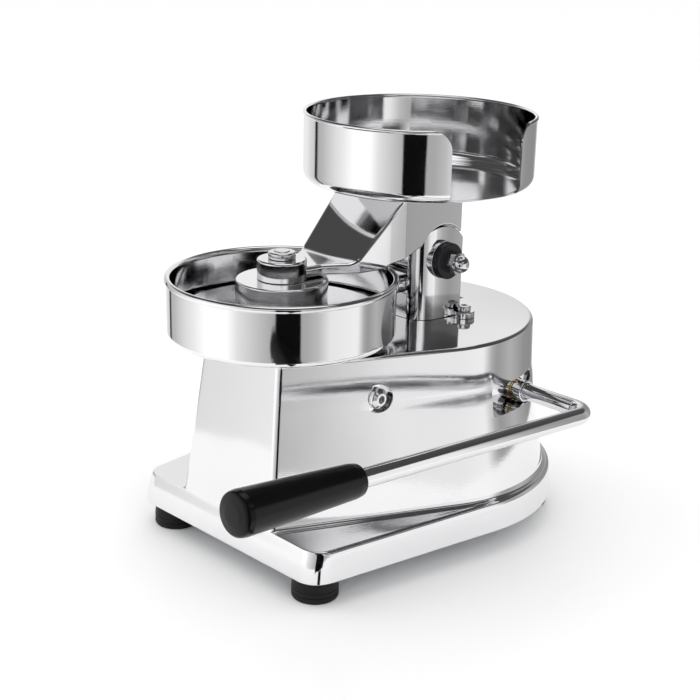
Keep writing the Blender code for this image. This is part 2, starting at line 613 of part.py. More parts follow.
def make_linkage(finish):
    reach, drop = SHAFT + CRANK_REACH, SHAFT + CRANK_DROP
    crank = disc_x("lever_crank", SHAFT, 0.0110, *PLATE_X, finish["zinc"])
    add(crank, strap("crank_reach", SHAFT, reach, 0.0070, PLATE_X),
        strap("crank_drop", SHAFT, drop, 0.0070, PLATE_X))
    cut(crank, eye_bore("crank_bore", SHAFT, BAR_RADIUS + GAP), eye_bore("reach_bore", reach),
        eye_bore("drop_bore", drop))

    tail = PIVOT + CRANK_REACH
    press_link = strap("press_link", reach, tail, EYE_RADIUS, LINK_X, finish["zinc"])
    cut(press_link, eye_bore("link_low", reach), eye_bore("link_high", tail))

    foot = ROCKER + CRANK_DROP
    ejector_link = strap("ejector_link", foot, drop, EYE_RADIUS, LINK_X, finish["zinc"])
    cut(ejector_link, eye_bore("link_front", foot), eye_bore("link_rear", drop))

    rocker = disc_x("ejector_rocker", ROCKER, 0.0090, -0.0080, 0.0080, finish["zinc"])
    elbow, tip = ROCKER + ROCKER_ELBOW, ROCKER + ROCKER_TIP
    arm_x = (-0.0055, 0.0055)
    add(rocker, strap("rocker_arm", ROCKER, elbow, ROCKER_TIP_RADIUS, arm_x),
        strap("rocker_finger", elbow, tip, ROCKER_TIP_RADIUS, (-0.0060, 0.0060)),
        strap("rocker_drop", ROCKER, foot, 0.0070, PLATE_X))
    cut(rocker, eye_bore("rocker_bore", ROCKER, ROCKER_BOLT_RADIUS + GAP), eye_bore("foot_bore", foot))

    pins = [pin("crank_link_pin", reach, finish["bright"]), pin("arm_tail_pin", tail, finish["bright"]),
            pin("crank_ejector_pin", drop, finish["bright"]), pin("rocker_link_pin", foot, finish["bright"])]
    return [crank, press_link, ejector_link, rocker] + pins


def make_rocker_bolt(finish):
    seat = 0.0655 + GAP
    head_profile = [(0, seat), (0.0072, seat), (0.0072, seat + 0.0034), (0.0052, seat + 0.0050),
                    (0.0030, seat + 0.0050), (0.0030, seat + 0.0024), (0, seat + 0.0024)]
    bolt = turned("rocker_bolt", head_profile, finish["bright"], steps=24)
    bolt.data.transform(Matrix.Translation(ROCKER) @ Matrix.Rotation(math.radians(90), 4, "Y"))
    end = -seat - 0.0075
    add(bolt, disc_x("rocker_shank", ROCKER, ROCKER_BOLT_RADIUS, end, seat + 0.0010, steps=24))
    nut = hex_x("rocker_nut", ROCKER, 0.0130, -seat - 0.0065, -seat, finish["bright"])
    cut(nut, disc_x("rocker_nut_bore", ROCKER, ROCKER_BOLT_RADIUS + GAP, -0.0900, -0.0500, steps=24))
    return [bolt, nut]


# Assembly.

def hinge_empty(name, place, root):
    empty = bpy.data.objects.new(name, None)
    empty.location = place
    empty.parent = root
    bpy.context.collection.objects.link(empty)
    return empty


def hang(pieces, joint, root):
    """Parent pieces, and the helpers that shape them, without moving them."""
    bpy.context.view_layer.update()
    for piece in pieces:
        place = piece.matrix_world.copy()
        piece.parent = joint
        piece.matrix_parent_inverse = (Matrix.Translation(joint.location - root.location)
                                       if joint is not root else Matrix()).inverted()
        piece.matrix_basis = place


def centre_on_origin(root):
    """Bring the middle of the whole press's box over the origin."""
    bpy.context.view_layer.update()
    depsgraph = bpy.context.evaluated_depsgraph_get()
    low, high = Vector((1, 1, 1)), Vector((-1, -1, -1))
    for item in bpy.data.objects:
        if item.type in {"MESH", "CURVE"} and not item.hide_render:
            shape = item.evaluated_get(depsgraph)
            mesh = shape.to_mesh()
            for vertex in mesh.vertices:
                place = shape.matrix_world @ vertex.co
                low = Vector(map(min, low, place))
                high = Vector(map(max, high, place))
            shape.to_mesh_clear()
    root.location = (-(low.x + high.x) / 2, -(low.y + high.y) / 2, 0)


def main():
    clear_scene()
    finish = make_materials()
    root = bpy.data.objects.new("press_root", None)
    bpy.context.collection.objects.link(root)

    fixed = (make_base(finish) + make_cover_and_feet(finish) + make_bowl(finish) + make_yoke(finish)
             + make_pivot(finish) + make_bushes(finish) + make_rocker_bolt(finish))
    ejector = make_ejector(finish)
    arm = make_press_plate(finish) + make_arm(finish) + make_tray(finish)
    lever = make_lever(finish)
    linkage = {piece.name: piece for piece in make_linkage(finish)}
    lever += [linkage["lever_crank"], linkage["crank_link_pin"], linkage["crank_ejector_pin"]]
    arm.append(linkage["arm_tail_pin"])

    shaft = hinge_empty("lever_axis", SHAFT, root)
    groups = ((fixed, root), (ejector, hinge_empty("ejector_axis", (0, 0, ROD_LOW), root)),
              (arm, hinge_empty("arm_axis", PIVOT, root)), (lever, shaft),
              ([linkage["ejector_rocker"], linkage["rocker_link_pin"]],
               hinge_empty("rocker_axis", ROCKER, root)),
              ([linkage["press_link"]], hinge_empty("press_link_axis", SHAFT + CRANK_REACH, root)),
              ([linkage["ejector_link"]], hinge_empty("ejector_link_axis", SHAFT + CRANK_DROP, root)))
    placed = set()
    for pieces, joint in groups:
        hang(pieces, joint, root)
        placed.update(piece.name for piece in pieces)
    helpers = [item for item in bpy.data.objects if item.type == "MESH" and item.name not in placed]
    hang(helpers, root, root)
    centre_on_origin(root)


main()
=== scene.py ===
"""Visual model of the hand lever patty press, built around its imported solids.

Everything is laid out from the vertical axis of the bowl, in metres, and moved into the frame by AXIS.
"""
import json
import math

import bmesh
import bpy
from mathutils import Matrix, Vector


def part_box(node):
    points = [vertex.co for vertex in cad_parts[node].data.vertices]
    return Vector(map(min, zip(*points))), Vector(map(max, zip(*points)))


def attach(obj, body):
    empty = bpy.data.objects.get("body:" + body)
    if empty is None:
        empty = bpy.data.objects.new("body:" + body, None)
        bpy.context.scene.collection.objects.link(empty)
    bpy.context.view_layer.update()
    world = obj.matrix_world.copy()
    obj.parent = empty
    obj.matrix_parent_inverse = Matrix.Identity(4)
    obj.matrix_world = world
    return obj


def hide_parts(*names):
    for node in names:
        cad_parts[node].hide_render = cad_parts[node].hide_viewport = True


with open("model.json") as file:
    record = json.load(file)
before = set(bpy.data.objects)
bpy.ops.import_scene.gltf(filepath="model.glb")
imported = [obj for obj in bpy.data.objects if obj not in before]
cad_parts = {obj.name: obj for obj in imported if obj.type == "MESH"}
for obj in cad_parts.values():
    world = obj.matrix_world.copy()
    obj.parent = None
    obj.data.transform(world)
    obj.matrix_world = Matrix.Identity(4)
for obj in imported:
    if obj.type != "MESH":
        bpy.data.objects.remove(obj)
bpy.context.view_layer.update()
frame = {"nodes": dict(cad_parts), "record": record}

bowl_low, bowl_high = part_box("bowl")
AXIS = Vector(((bowl_low.x + bowl_high.x) / 2, (bowl_low.y + bowl_high.y) / 2, 0))
JOINTS = {joint["name"]: joint for joint in frame["record"]["behaviour"]["joints"]}


def joint_place(name):
    return Vector(JOINTS[name]["pos_m"]) - AXIS


PIVOT = joint_place("arm_hinge")
SHAFT = joint_place("lever_hinge")
ROCKER = joint_place("rocker_hinge")

# Sizes shared by several pieces.
FLANGE_LOW = 0.0176
FLANGE_TOP = 0.0390
BODY_TOP = 0.1500
WALL = 0.0060
REAR_CENTRE_Y = 0.1170
CREASE_Z = 0.1150
FEET = (("front_left", -0.0748, -0.0345), ("front_right", 0.0748, -0.0345),
        ("rear_left", -0.0700, 0.1870), ("rear_right", 0.0700, 0.1870))
TRAY_CENTRE = Vector((0, 0.1292, 0))
TRAY_SCREWS = ((-0.0200, 0.1130), (0.0200, 0.1130))
WEB_SCREW_X, WEB_SCREW_Z = 0.0105, 0.1745
PIVOT_BORE = 0.0053
SCREW_BORE = 0.0033
CHEEK_HALF = 0.0351
TAIL = Vector((0, 0.0254, 0.0118))


# Shape helpers.

def arc(cx, cy, radius, start, stop, count):
    """Points on an arc, angles in degrees, both ends included."""
    angles = [math.radians(start + (stop - start) * i / (count - 1)) for i in range(count)]
    return [(cx + radius * math.cos(a), cy + radius * math.sin(a)) for a in angles]


def rounded(corners, steps=5):
    """Closed outline through (x, y, radius) corners, each corner rounded by its own radius."""
    outline = []
    count = len(corners)
    for i, (x, y, radius) in enumerate(corners):
        here = Vector((x, y))
        before = Vector(corners[i - 1][:2]) - here
        after = Vector(corners[(i + 1) % count][:2]) - here
        if radius <= 0 or before.length < 1e-9 or after.length < 1e-9:
            outline.append((x, y))
            continue
        half = before.angle(after) / 2
        if half > math.radians(89):
            outline.append((x, y))
            continue
        reach = min(radius / math.tan(half), before.length * 0.49, after.length * 0.49)
        first = here + before.normalized() * reach
        last = here + after.normalized() * reach
        middle = here + (before.normalized() + after.normalized()).normalized() * (reach / math.cos(half))
        start = first - middle
        sweep = start.angle_signed(last - middle)
        for k in range(steps + 1):
            turned = start.copy()
            turned.rotate(Matrix.Rotation(-sweep * k / steps, 2))
            outline.append(tuple(middle + turned))
    return outline


def mesh_object(name, bm, finish):
    bmesh.ops.recalc_face_normals(bm, faces=bm.faces)
    mesh = bpy.data.meshes.new(name)
    bm.to_mesh(mesh)
    bm.free()
    item = bpy.data.objects.new(name, mesh)
    bpy.context.scene.collection.objects.link(item)
    if finish:
        mesh.materials.append(finish)
    return item


def loft(name, sections, finish=None):
    """Skin equal-length point loops and cap both ends."""
    bm = bmesh.new()
    loops = [[bm.verts.new(point) for point in section] for section in sections]
    count = len(loops[0])
    for lower, upper in zip(loops, loops[1:]):
        for i in range(count):
            j = (i + 1) % count
            bm.faces.new((lower[i], lower[j], upper[j], upper[i]))
    bm.faces.new(loops[0])
    bm.faces.new(loops[-1])
    return mesh_object(name, bm, finish)


def turned(name, profile, finish=None, steps=96):
    """Turn a closed (radius, height) outline about the Z axis."""
    bm = bmesh.new()
    rings = []
    for radius, height in profile:
        if radius < 1e-7:
            rings.append([bm.verts.new((0, 0, height))])
            continue
        rings.append([bm.verts.new((radius * math.cos(2 * math.pi * i / steps),
                                    radius * math.sin(2 * math.pi * i / steps), height))
                      for i in range(steps)])
    for first, second in zip(rings, rings[1:] + rings[:1]):
        if len(first) == 1 and len(second) == 1:
            continue
        for i in range(steps):
            j = (i + 1) % steps
            corners = (first[i % len(first)], first[j % len(first)],
                       second[j % len(second)], second[i % len(second)])
            bm.faces.new(tuple(dict.fromkeys(corners)))
    return mesh_object(name, bm, finish)


def prism(name, outline, low, high, finish=None, edge=0.0, axis="Z", steps=4):
    """Extrude a closed outline, its two end faces eased by the edge radius."""
    levels = [(low, 0.0), (high, 0.0)]
    if edge > 0:
        turn = [math.pi / 2 * k / steps for k in range(steps + 1)]
        levels = [(low + edge * (1 - math.sin(a)), edge * (1 - math.cos(a))) for a in reversed(turn)]
        levels += [(high - edge * (1 - math.sin(a)), edge * (1 - math.cos(a))) for a in turn]
    sections = []
    for level, inset in levels:
        ring = offset_outline(outline, inset)
        if axis == "Z":
            sections.append([(x, y, level) for x, y in ring])
        else:
            sections.append([(level, x, y) for x, y in ring])
    return loft(name, sections, finish)


def offset_outline(outline, inset):
    """Move a closed outline inwards along its corner bisectors."""
    if inset == 0:
        return list(outline)
    count = len(outline)
    area = sum(outline[i - 1][0] * outline[i][1] - outline[i][0] * outline[i - 1][1] for i in range(count))
    side = 1 if area > 0 else -1
    moved = []
    for i in range(count):
        before = Vector(outline[i]) - Vector(outline[i - 1])
        after = Vector(outline[(i + 1) % count]) - Vector(outline[i])
        if before.length < 1e-9:
            before = after
        if after.length < 1e-9:
            after = before
        first = Vector((-before.y, before.x)).normalized() * side
        second = Vector((-after.y, after.x)).normalized() * side
        normal = (first + second).normalized()
        moved.append(tuple(Vector(outline[i]) + normal * inset / max(0.35, normal.dot(second))))
    return moved


def move(item, matrix):
    item.data.transform(matrix)
    return item


def along_x(item, centre):
    """Turn a piece made about Z so that it points along +X, and put its origin at centre."""
    return move(item, Matrix.Translation(centre) @ Matrix.Rotation(math.pi / 2, 4, "Y"))


def combine(target, other, operation):
    step = target.modifiers.new(operation.lower(), "BOOLEAN")
    step.operation = operation
    step.solver = "EXACT"
    step.object = other
    bpy.context.view_layer.update()
    shape = target.evaluated_get(bpy.context.evaluated_depsgraph_get())
    mesh = bpy.data.meshes.new_from_object(shape)
    target.modifiers.clear()
    target.data = mesh
    bpy.data.objects.remove(other, do_unlink=True)
    return target


def cut(target, *others):
    for other in others:
        combine(target, other, "DIFFERENCE")
    return target


def add(target, *others):
    for other in others:
        combine(target, other, "UNION")
    return target


def finish_piece(item, body, nodes=(), sharp=32):
    """Shade a piece, bring it into the frame, hang it on its body's empty, and hide the imported solids it
    stands for.
    """
    move(item, Matrix.Translation(AXIS))
    mesh = item.data
    mesh.shade_smooth()
    mesh.set_sharp_from_angle(angle=math.radians(sharp))
    weighted = item.modifiers.new("normals", "WEIGHTED_NORMAL")
    weighted.keep_sharp = True
    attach(item, body)
    if nodes:
        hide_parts(*nodes)
    return item


# Materials.

def node_material(name, colour, metallic):
    made = bpy.data.materials.new(name)
    made.use_nodes = True
    tree = made.node_tree
    shader = tree.nodes["Principled BSDF"]
    shader.inputs["Base Color"].default_value = (*colour, 1)
    shader.inputs["Metallic"].default_value = metallic
    return made, tree, shader


def link(tree, source, output, target, socket):
    tree.links.new(source.outputs[output], target.inputs[socket])


def noise(tree, vector, scale, detail=2.0, roughness=0.5):
    texture = tree.nodes.new("ShaderNodeTexNoise")
    texture.inputs["Scale"].default_value = scale
    texture.inputs["Detail"].default_value = detail
    texture.inputs["Roughness"].default_value = roughness
    tree.links.new(vector, texture.inputs["Vector"])
    return texture


def spread(tree, source, low, high, from_low=0.3, from_high=0.7):
    """Map a noise's middle range to low..high."""
    ranged = tree.nodes.new("ShaderNodeMapRange")
    ranged.inputs["From Min"].default_value = from_low
    ranged.inputs["From Max"].default_value = from_high
    ranged.inputs["To Min"].default_value = low
    ranged.inputs["To Max"].default_value = high
    link(tree, source, 0, ranged, "Value")
    return ranged


def bump(tree, height, strength, distance, before=None):
    node = tree.nodes.new("ShaderNodeBump")
    node.inputs["Strength"].default_value = strength
    node.inputs["Distance"].default_value = distance
    tree.links.new(height.outputs[0], node.inputs["Height"])
    if before:
        link(tree, before, "Normal", node, "Normal")
    return node


def object_vector(tree, scale=(1, 1, 1), offset=(0, 0, 0)):
    place = tree.nodes.new("ShaderNodeTexCoord")
    mapping = tree.nodes.new("ShaderNodeMapping")
    mapping.inputs["Scale"].default_value = scale
    mapping.inputs["Location"].default_value = offset
    link(tree, place, "Object", mapping, "Vector")
    return mapping.outputs[0]


def radial_vector(tree, centre, along, across):
    """Coordinates whose pattern runs in rings around a vertical axis."""
    moved = object_vector(tree, offset=(-centre.x, -centre.y, 0))
    split = tree.nodes.new("ShaderNodeSeparateXYZ")
    tree.links.new(moved, split.inputs[0])
    flat = tree.nodes.new("ShaderNodeCombineXYZ")
    link(tree, split, "X", flat, "X")
    link(tree, split, "Y", flat, "Y")
    length = tree.nodes.new("ShaderNodeVectorMath")
    length.operation = "LENGTH"
    link(tree, flat, 0, length, 0)
    turn = tree.nodes.new("ShaderNodeMath")
    turn.operation = "ARCTAN2"
    link(tree, split, "Y", turn, 0)
    link(tree, split, "X", turn, 1)
    slow = tree.nodes.new("ShaderNodeMath")
    slow.operation = "MULTIPLY"
    slow.inputs[1].default_value = along
    link(tree, turn, 0, slow, 0)
    rings = tree.nodes.new("ShaderNodeMath")
    rings.operation = "MULTIPLY"
    rings.inputs[1].default_value = across
    link(tree, length, "Value", rings, 0)
    height = tree.nodes.new("ShaderNodeMath")
    height.operation = "MULTIPLY"
    height.inputs[1].default_value = across
    link(tree, split, "Z", height, 0)
    joined = tree.nodes.new("ShaderNodeCombineXYZ")
    link(tree, rings, 0, joined, "X")
    link(tree, slow, 0, joined, "Y")
    link(tree, height, 0, joined, "Z")
    return joined.outputs[0]


def polished_metal(name, colour, rough, wave=0.0, wave_scale=14.0, grain=0.0, ring_centre=None, tint=0.04):
    """Polished metal: slow hand-polishing waves, fine scratches, and uneven gloss."""
    made, tree, shader = node_material(name, colour, 1.0)
    plain = object_vector(tree)
    cloud = noise(tree, plain, 30.0, 4.0, 0.6)
    gloss = spread(tree, cloud, rough[0], rough[1])
    link(tree, gloss, 0, shader, "Roughness")
    shade = tree.nodes.new("ShaderNodeMix")
    shade.data_type = "RGBA"
    shade.inputs["A"].default_value = (*[c * (1 - tint) for c in colour], 1)
    shade.inputs["B"].default_value = (*[min(1, c * (1 + tint)) for c in colour], 1)
    link(tree, noise(tree, plain, 11.0, 3.0), 0, shade, "Factor")
    link(tree, shade, "Result", shader, "Base Color")
    last = None
    if wave > 0:
        last = bump(tree, noise(tree, plain, wave_scale, 1.0), wave, 0.01)
    if grain > 0:
        if ring_centre is not None:
            vector = radial_vector(tree, ring_centre, 1.2, 2600.0)
            scratches = noise(tree, vector, 1.0, 2.0, 0.7)
        else:
            scratches = noise(tree, object_vector(tree, scale=(900.0, 260.0, 900.0)), 1.0, 2.0, 0.7)
        last = bump(tree, scratches, grain, 0.0002, last)
    if last:
        link(tree, last, "Normal", shader, "Normal")
    return made


def moulded(name, colour, rough, grain, grain_scale, specular=0.5):
    """Moulded black plastic or rubber with a fine skin and slight mottling."""
    made, tree, shader = node_material(name, colour, 0.0)
    plain = object_vector(tree)
    gloss = spread(tree, noise(tree, plain, 60.0, 3.0), rough[0], rough[1])
    link(tree, gloss, 0, shader, "Roughness")
    shade = tree.nodes.new("ShaderNodeMix")
    shade.data_type = "RGBA"
    shade.inputs["A"].default_value = (*[c * 0.7 for c in colour], 1)
    shade.inputs["B"].default_value = (*[c * 1.4 for c in colour], 1)
    link(tree, noise(tree, plain, 45.0, 2.0), 0, shade, "Factor")
    link(tree, shade, "Result", shader, "Base Color")
    shader.inputs["Specular IOR Level"].default_value = specular
    skin = bump(tree, noise(tree, plain, grain_scale, 2.0), grain, 0.0004)
    link(tree, skin, "Normal", shader, "Normal")
    return made


CASTING = polished_metal("polished_casting", (0.83, 0.83, 0.84), (0.05, 0.10), wave=0.05, wave_scale=16,
                         grain=0.05)
TURNED_CAST = polished_metal("turned_casting", (0.90, 0.90, 0.91), (0.08, 0.14), grain=0.10,
                             ring_centre=AXIS)
BOWL_STEEL = polished_metal("bowl_steel", (0.84, 0.84, 0.85), (0.03, 0.07), wave=0.015, wave_scale=22,
                            grain=0.05, ring_centre=AXIS)
TRAY_STEEL = polished_metal("tray_steel", (0.84, 0.84, 0.85), (0.03, 0.07), wave=0.015, wave_scale=22,
                            grain=0.05, ring_centre=AXIS + TRAY_CENTRE)
BAR_STEEL = polished_metal("bar_steel", (0.82, 0.82, 0.83), (0.05, 0.11), grain=0.06)
BRIGHT = polished_metal("bright_fastener", (0.76, 0.76, 0.77), (0.08, 0.18), wave=0.03, wave_scale=60,
                        grain=0.06)
BRASS = polished_metal("brass", (0.74, 0.56, 0.28), (0.18, 0.32), grain=0.15)
ZINC = polished_metal("zinc_plate", (0.60, 0.62, 0.65), (0.24, 0.42), wave=0.05, wave_scale=90,
                      grain=0.15, tint=0.10)
BLACK_OXIDE = moulded("black_oxide", (0.012, 0.012, 0.014), (0.26, 0.42), 0.10, 700.0, 0.35)
RUBBER = moulded("foot_rubber", (0.006, 0.006, 0.006), (0.40, 0.60), 0.30, 900.0, 0.22)
GRIP_PLASTIC = moulded("grip_plastic", (0.003, 0.003, 0.0035), (0.16, 0.26), 0.06, 500.0, 0.20)

for names, finish in ((("ejector_guide", "shaft_bush_left"), BRASS), (("guide_nut", "ejector_rod"), BRIGHT),
                      (("bottom_cover", "lever_crank", "press_link", "ejector_link", "ejector_rocker"), ZINC),
                      (("arm_tail_pin", "crank_link_pin", "crank_ejector_pin", "rocker_link_pin"), BRIGHT),
                      (("foot_screw_front_left", "foot_screw_front_right", "foot_screw_rear_left",
                        "foot_screw_rear_right"), BRIGHT)):
    for name in names:
        node = frame["nodes"][name]
        for material_slot in node.material_slots:
            material_slot.material = finish


# Base casting.

def smooth_step(t):
    t = min(1.0, max(0.0, t))
    return t * t * (3 - 2 * t)


def body_width(z):
    """Front half-width and rear radius of the body at a height, flaring out below the crease."""
    front_low = 0.0472 + (z - 0.0330) * (0.0409 - 0.0472) / 0.0820
    rear_low = 0.1098 + (z - 0.0330) * (0.0971 - 0.1098) / 0.0820
    front_high = 0.0409 + (z - CREASE_Z) * (0.0384 - 0.0409) / 0.0325
    rear_high = 0.0971 + (z - CREASE_Z) * (0.0960 - 0.0971) / 0.0325
    t = smooth_step((z - CREASE_Z + 0.0050) / 0.0100)
    return front_low + (front_high - front_low) * t, rear_low + (rear_high - rear_low) * t


def front_y(z):
    """Front face of the flange and body, one continuous line down to the bench side."""
    body = -0.0496 + (z - 0.0330) * 0.0098 / 0.0820
    flange = -0.0540 + (z - FLANGE_LOW) * 0.0030 / 0.0184
    return flange + (body - flange) * smooth_step((z - 0.0260) / 0.0200)


POCKET_Y = (0.1090, 0.1640)


def body_outline(half_front, front, rear_radius, corner):
    """Right half first: flat front, rounded corner, straight flank, round rear; then mirrored."""
    reach = REAR_CENTRE_Y - front
    distance = math.hypot(half_front, reach)
    flank = math.degrees(math.atan2(reach, -half_front) - math.asin(rear_radius / distance))
    inset = corner * math.tan(math.radians(flank) / 2)
    start_x = half_front - inset
    right = [(start_x * k / 6, front) for k in range(6)]
    right += arc(start_x, front + corner, corner, -90, flank - 90, 11)
    last = Vector(right[-1])
    tangent = Vector((rear_radius * math.cos(math.radians(flank - 90)),
                      REAR_CENTRE_Y + rear_radius * math.sin(math.radians(flank - 90))))
    right += [tuple(last.lerp(tangent, k / 14)) for k in range(1, 14)]
    stops = [flank - 90]
    stops += [math.degrees(math.asin((y - REAR_CENTRE_Y) / rear_radius)) for y in POCKET_Y]
    stops.append(90)
    for low, high, count in zip(stops, stops[1:], (7, 14, 24)):
        right += arc(0, REAR_CENTRE_Y, rear_radius, low, high, count + 1)[:-1]
    top = [(0, REAR_CENTRE_Y + rear_radius)]
    left = [(-x, y) for x, y in reversed(right[1:])]
    return right + top + left


def casting_sections():
    rows = [(FLANGE_LOW, 0.0934, front_y(FLANGE_LOW) + 0.0004, 0.1156, 0.0166)]
    for k in range(9):
        z = FLANGE_LOW + 0.0006 + (0.0178 - 0.0006) * k / 8
        t = (z - FLANGE_LOW) / 0.0184
        rows.append((z, 0.0940 - 0.0015 * t, front_y(z), 0.1162 - 0.0012 * t, 0.0170 - 0.0010 * t))
    for k in range(1, 8):
        a = math.pi / 2 * k / 7
        inset = 0.0034 * (1 - math.cos(a))
        z = FLANGE_TOP - 0.0036 * (1 - math.sin(a))
        rows.append((z, 0.0925 - inset, front_y(z), 0.1150 - inset, 0.0160 - inset * 0.6))
    foot = 0.0036
    edge_front, edge_rear = body_width(FLANGE_TOP + 0.0004)
    for k in range(1, 7):
        t = k / 7
        z = FLANGE_TOP + 0.0004 * t
        rows.append((z, 0.0891 + (edge_front + foot - 0.0891) * t, front_y(z),
                     0.1116 + (edge_rear + 0.0024 - 0.1116) * t, 0.0140 + (0.0072 - 0.0140) * t))
    for k in range(8):
        a = math.pi / 2 * k / 7
        z = FLANGE_TOP + 0.0004 + foot * (1 - math.cos(a))
        width, rear = body_width(z)
        gap = 1 - math.sin(a)
        rows.append((z, width + foot * gap, front_y(z), rear + 0.0024 * gap, 0.0052 + 0.0020 * gap))
    z = rows[-1][0]
    levels = [0.0480, 0.0540, 0.0600, 0.0680, 0.0760, 0.0840, 0.0900, 0.0960]
    levels += [0.0960 + (0.1170 - 0.0960) * k / 14 for k in range(1, 15)]
    levels += [0.1185, 0.1200, 0.1240, 0.1290, 0.1350, 0.1410, 0.1450]
    for z in levels:
        width, rear = body_width(z)
        rows.append((z, width, front_y(z), rear, 0.0052))
    edge = 0.0030
    width, rear = body_width(BODY_TOP - edge)
    for k in range(9):
        a = math.pi / 2 * k / 8
        inset = edge * (1 - math.cos(a))
        rows.append((BODY_TOP - edge * (1 - math.sin(a)), width - inset, front_y(BODY_TOP - edge) + inset,
                     rear - inset, 0.0052 - inset * 0.5))
    inset = edge + 0.0015
    rows.append((BODY_TOP, width - inset, front_y(BODY_TOP) + inset, rear - inset, 0.0034))
    return rows


def inner_sections():
    rows = []
    for z in (FLANGE_LOW - 0.0020, 0.0330, CREASE_Z, BODY_TOP - WALL):
        width, rear = body_width(max(z, 0.0330))
        rows.append((z, width - WALL, front_y(max(z, 0.0330)) + WALL, rear - WALL, 0.0030))
    return rows


def block(name, low, high):
    outline = ((low[0], low[1]), (high[0], low[1]), (high[0], high[1]), (low[0], high[1]))
    return prism(name, outline, low[2], high[2])


def rod_x(name, centre, radius, low, high, steps=48):
    item = turned(name, [(0, low), (radius, low), (radius, high), (0, high)], steps=steps)
    return along_x(item, Vector((0, centre.y, centre.z)))


def rod_z(name, x, y, radius, low, high, steps=32):
    return move(turned(name, [(0, low), (radius, low), (radius, high), (0, high)], steps=steps),
                Matrix.Translation((x, y, 0)))


YOKE_SCREWS = ((-0.0412, 0.1390), (0.0412, 0.1390))


def make_casting():
    sections = [[(x, y, z) for x, y in body_outline(*row)] for z, *row in casting_sections()]
    casting = loft("press_body", sections, CASTING)
    hollow = loft("hollow", [[(x, y, z) for x, y in body_outline(*row)] for z, *row in inner_sections()])
    for side in (1, -1):
        x_shaft = sorted((side * 0.0700, side * 0.1100))
        x_rocker = sorted((side * 0.0540, side * 0.1000))
        cut(hollow, block("boss", (x_shaft[0], 0.1030, 0.0890), (x_shaft[1], 0.1700, 0.1235)),
            rod_x("boss", ROCKER, 0.0150, *x_rocker), rod_z("boss", side * 0.0700, 0.1870, 0.0120, 0, 0.0450))
    cut(casting, hollow)
    pocket = rounded(((POCKET_Y[0], 0.0960, 0.0030), (POCKET_Y[1], 0.0960, 0.0030),
                      (POCKET_Y[1], 0.1170, 0.0030), (POCKET_Y[0], 0.1170, 0.0030)), 6)
    cut(casting, prism("pocket", pocket, 0.0830, 0.1120, axis="X"),
        rod_x("bore", SHAFT, 0.0083, -0.0860, 0.1100),
        rod_z("bore", 0, 0, 0.0113, BODY_TOP - 0.0120, BODY_TOP + 0.0050),
        block("slot", (-0.0030, 0.1475, BODY_TOP - 0.0120), (0.0090, 0.1750, BODY_TOP + 0.0050)),
        rod_x("bore", ROCKER, 0.0043, -0.0900, 0.0900))
    for side in (1, -1):
        cut(casting, rod_x("seat", ROCKER, 0.0098, *sorted((side * 0.0655, side * 0.0900)), steps=64))
    for x, y in YOKE_SCREWS:
        cut(casting, rod_z("bore", x, y, SCREW_BORE, BODY_TOP - 0.0120, BODY_TOP + 0.0050))
    for _, x, y in FEET:
        cut(casting, rod_z("bore", x, y, SCREW_BORE, 0, FLANGE_LOW + 0.0140))
    finish_piece(casting, "base", ["base_casting"], sharp=40)


# Turned pieces.

def spun(name, corners, finish=None, steps=96):
    """Turn a closed outline of (radius, height, rounding) corners about the Z axis."""
    return turned(name, rounded(corners), finish, steps)


def dish_profile(radius, low, rim_z, bead, sheet, corner, hole):
    """Flat-bottomed round dish of sheet metal, its edge rolled into a bead."""
    outer = arc(radius - corner, low + corner, corner, 0, -90, 14)
    inner = arc(radius - corner, low + corner, corner - sheet, -90, 0, 14)
    lap = math.degrees(math.acos(sheet / 2 / bead))
    rim = arc(radius - sheet / 2, rim_z, bead, 180 + lap, -lap, 26)
    wall_low, wall_high = low + corner, rim_z - bead * math.sin(math.radians(lap))
    shares = (0.004, 0.02, 0.1, 0.3, 0.5, 0.7, 0.9, 0.98)
    outside = [(radius, wall_high + (wall_low - wall_high) * k) for k in shares]
    inside = [(radius - sheet, wall_low + (wall_high - wall_low) * (1 - k)) for k in reversed(shares)]
    floor = [] if hole == 0 else [(hole, low), (hole, low + sheet)]
    if hole == 0:
        floor = [(radius * 0.5, low), (0, low), (0, low + sheet), (radius * 0.5, low + sheet)]
    return rim + outside + outer + floor + inner + inside


def make_bowl():
    profile = dish_profile(0.0772, 0.1560, 0.1951, 0.0022, 0.0015, 0.0045, 0.0113)
    bowl = turned("mould_bowl", profile, BOWL_STEEL, 200)
    finish_piece(bowl, "base", ["bowl"])
    low, high = BODY_TOP + 0.0003, 0.1557
    profile = ((0.0113, low, 0), (0.0520, low, 0.0008), (0.0520, high, 0.0008), (0.0113, high, 0))
    ring = spun("bowl_seat", profile, TURNED_CAST, 160)
    finish_piece(ring, "base", ["bowl_ring"])


def make_ejector():
    low, high = (corner.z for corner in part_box("ejector_plate"))
    profile = ((0, low, 0), (0.0722, low, 0.0006), (0.0735, low + 0.0010, 0.0004),
               (0.0735, high, 0.0004), (0.0300, high, 0), (0, high, 0))
    disc = spun("ejector_disc", profile, BOWL_STEEL, 160)
    finish_piece(disc, "ejector", ["ejector_plate"])


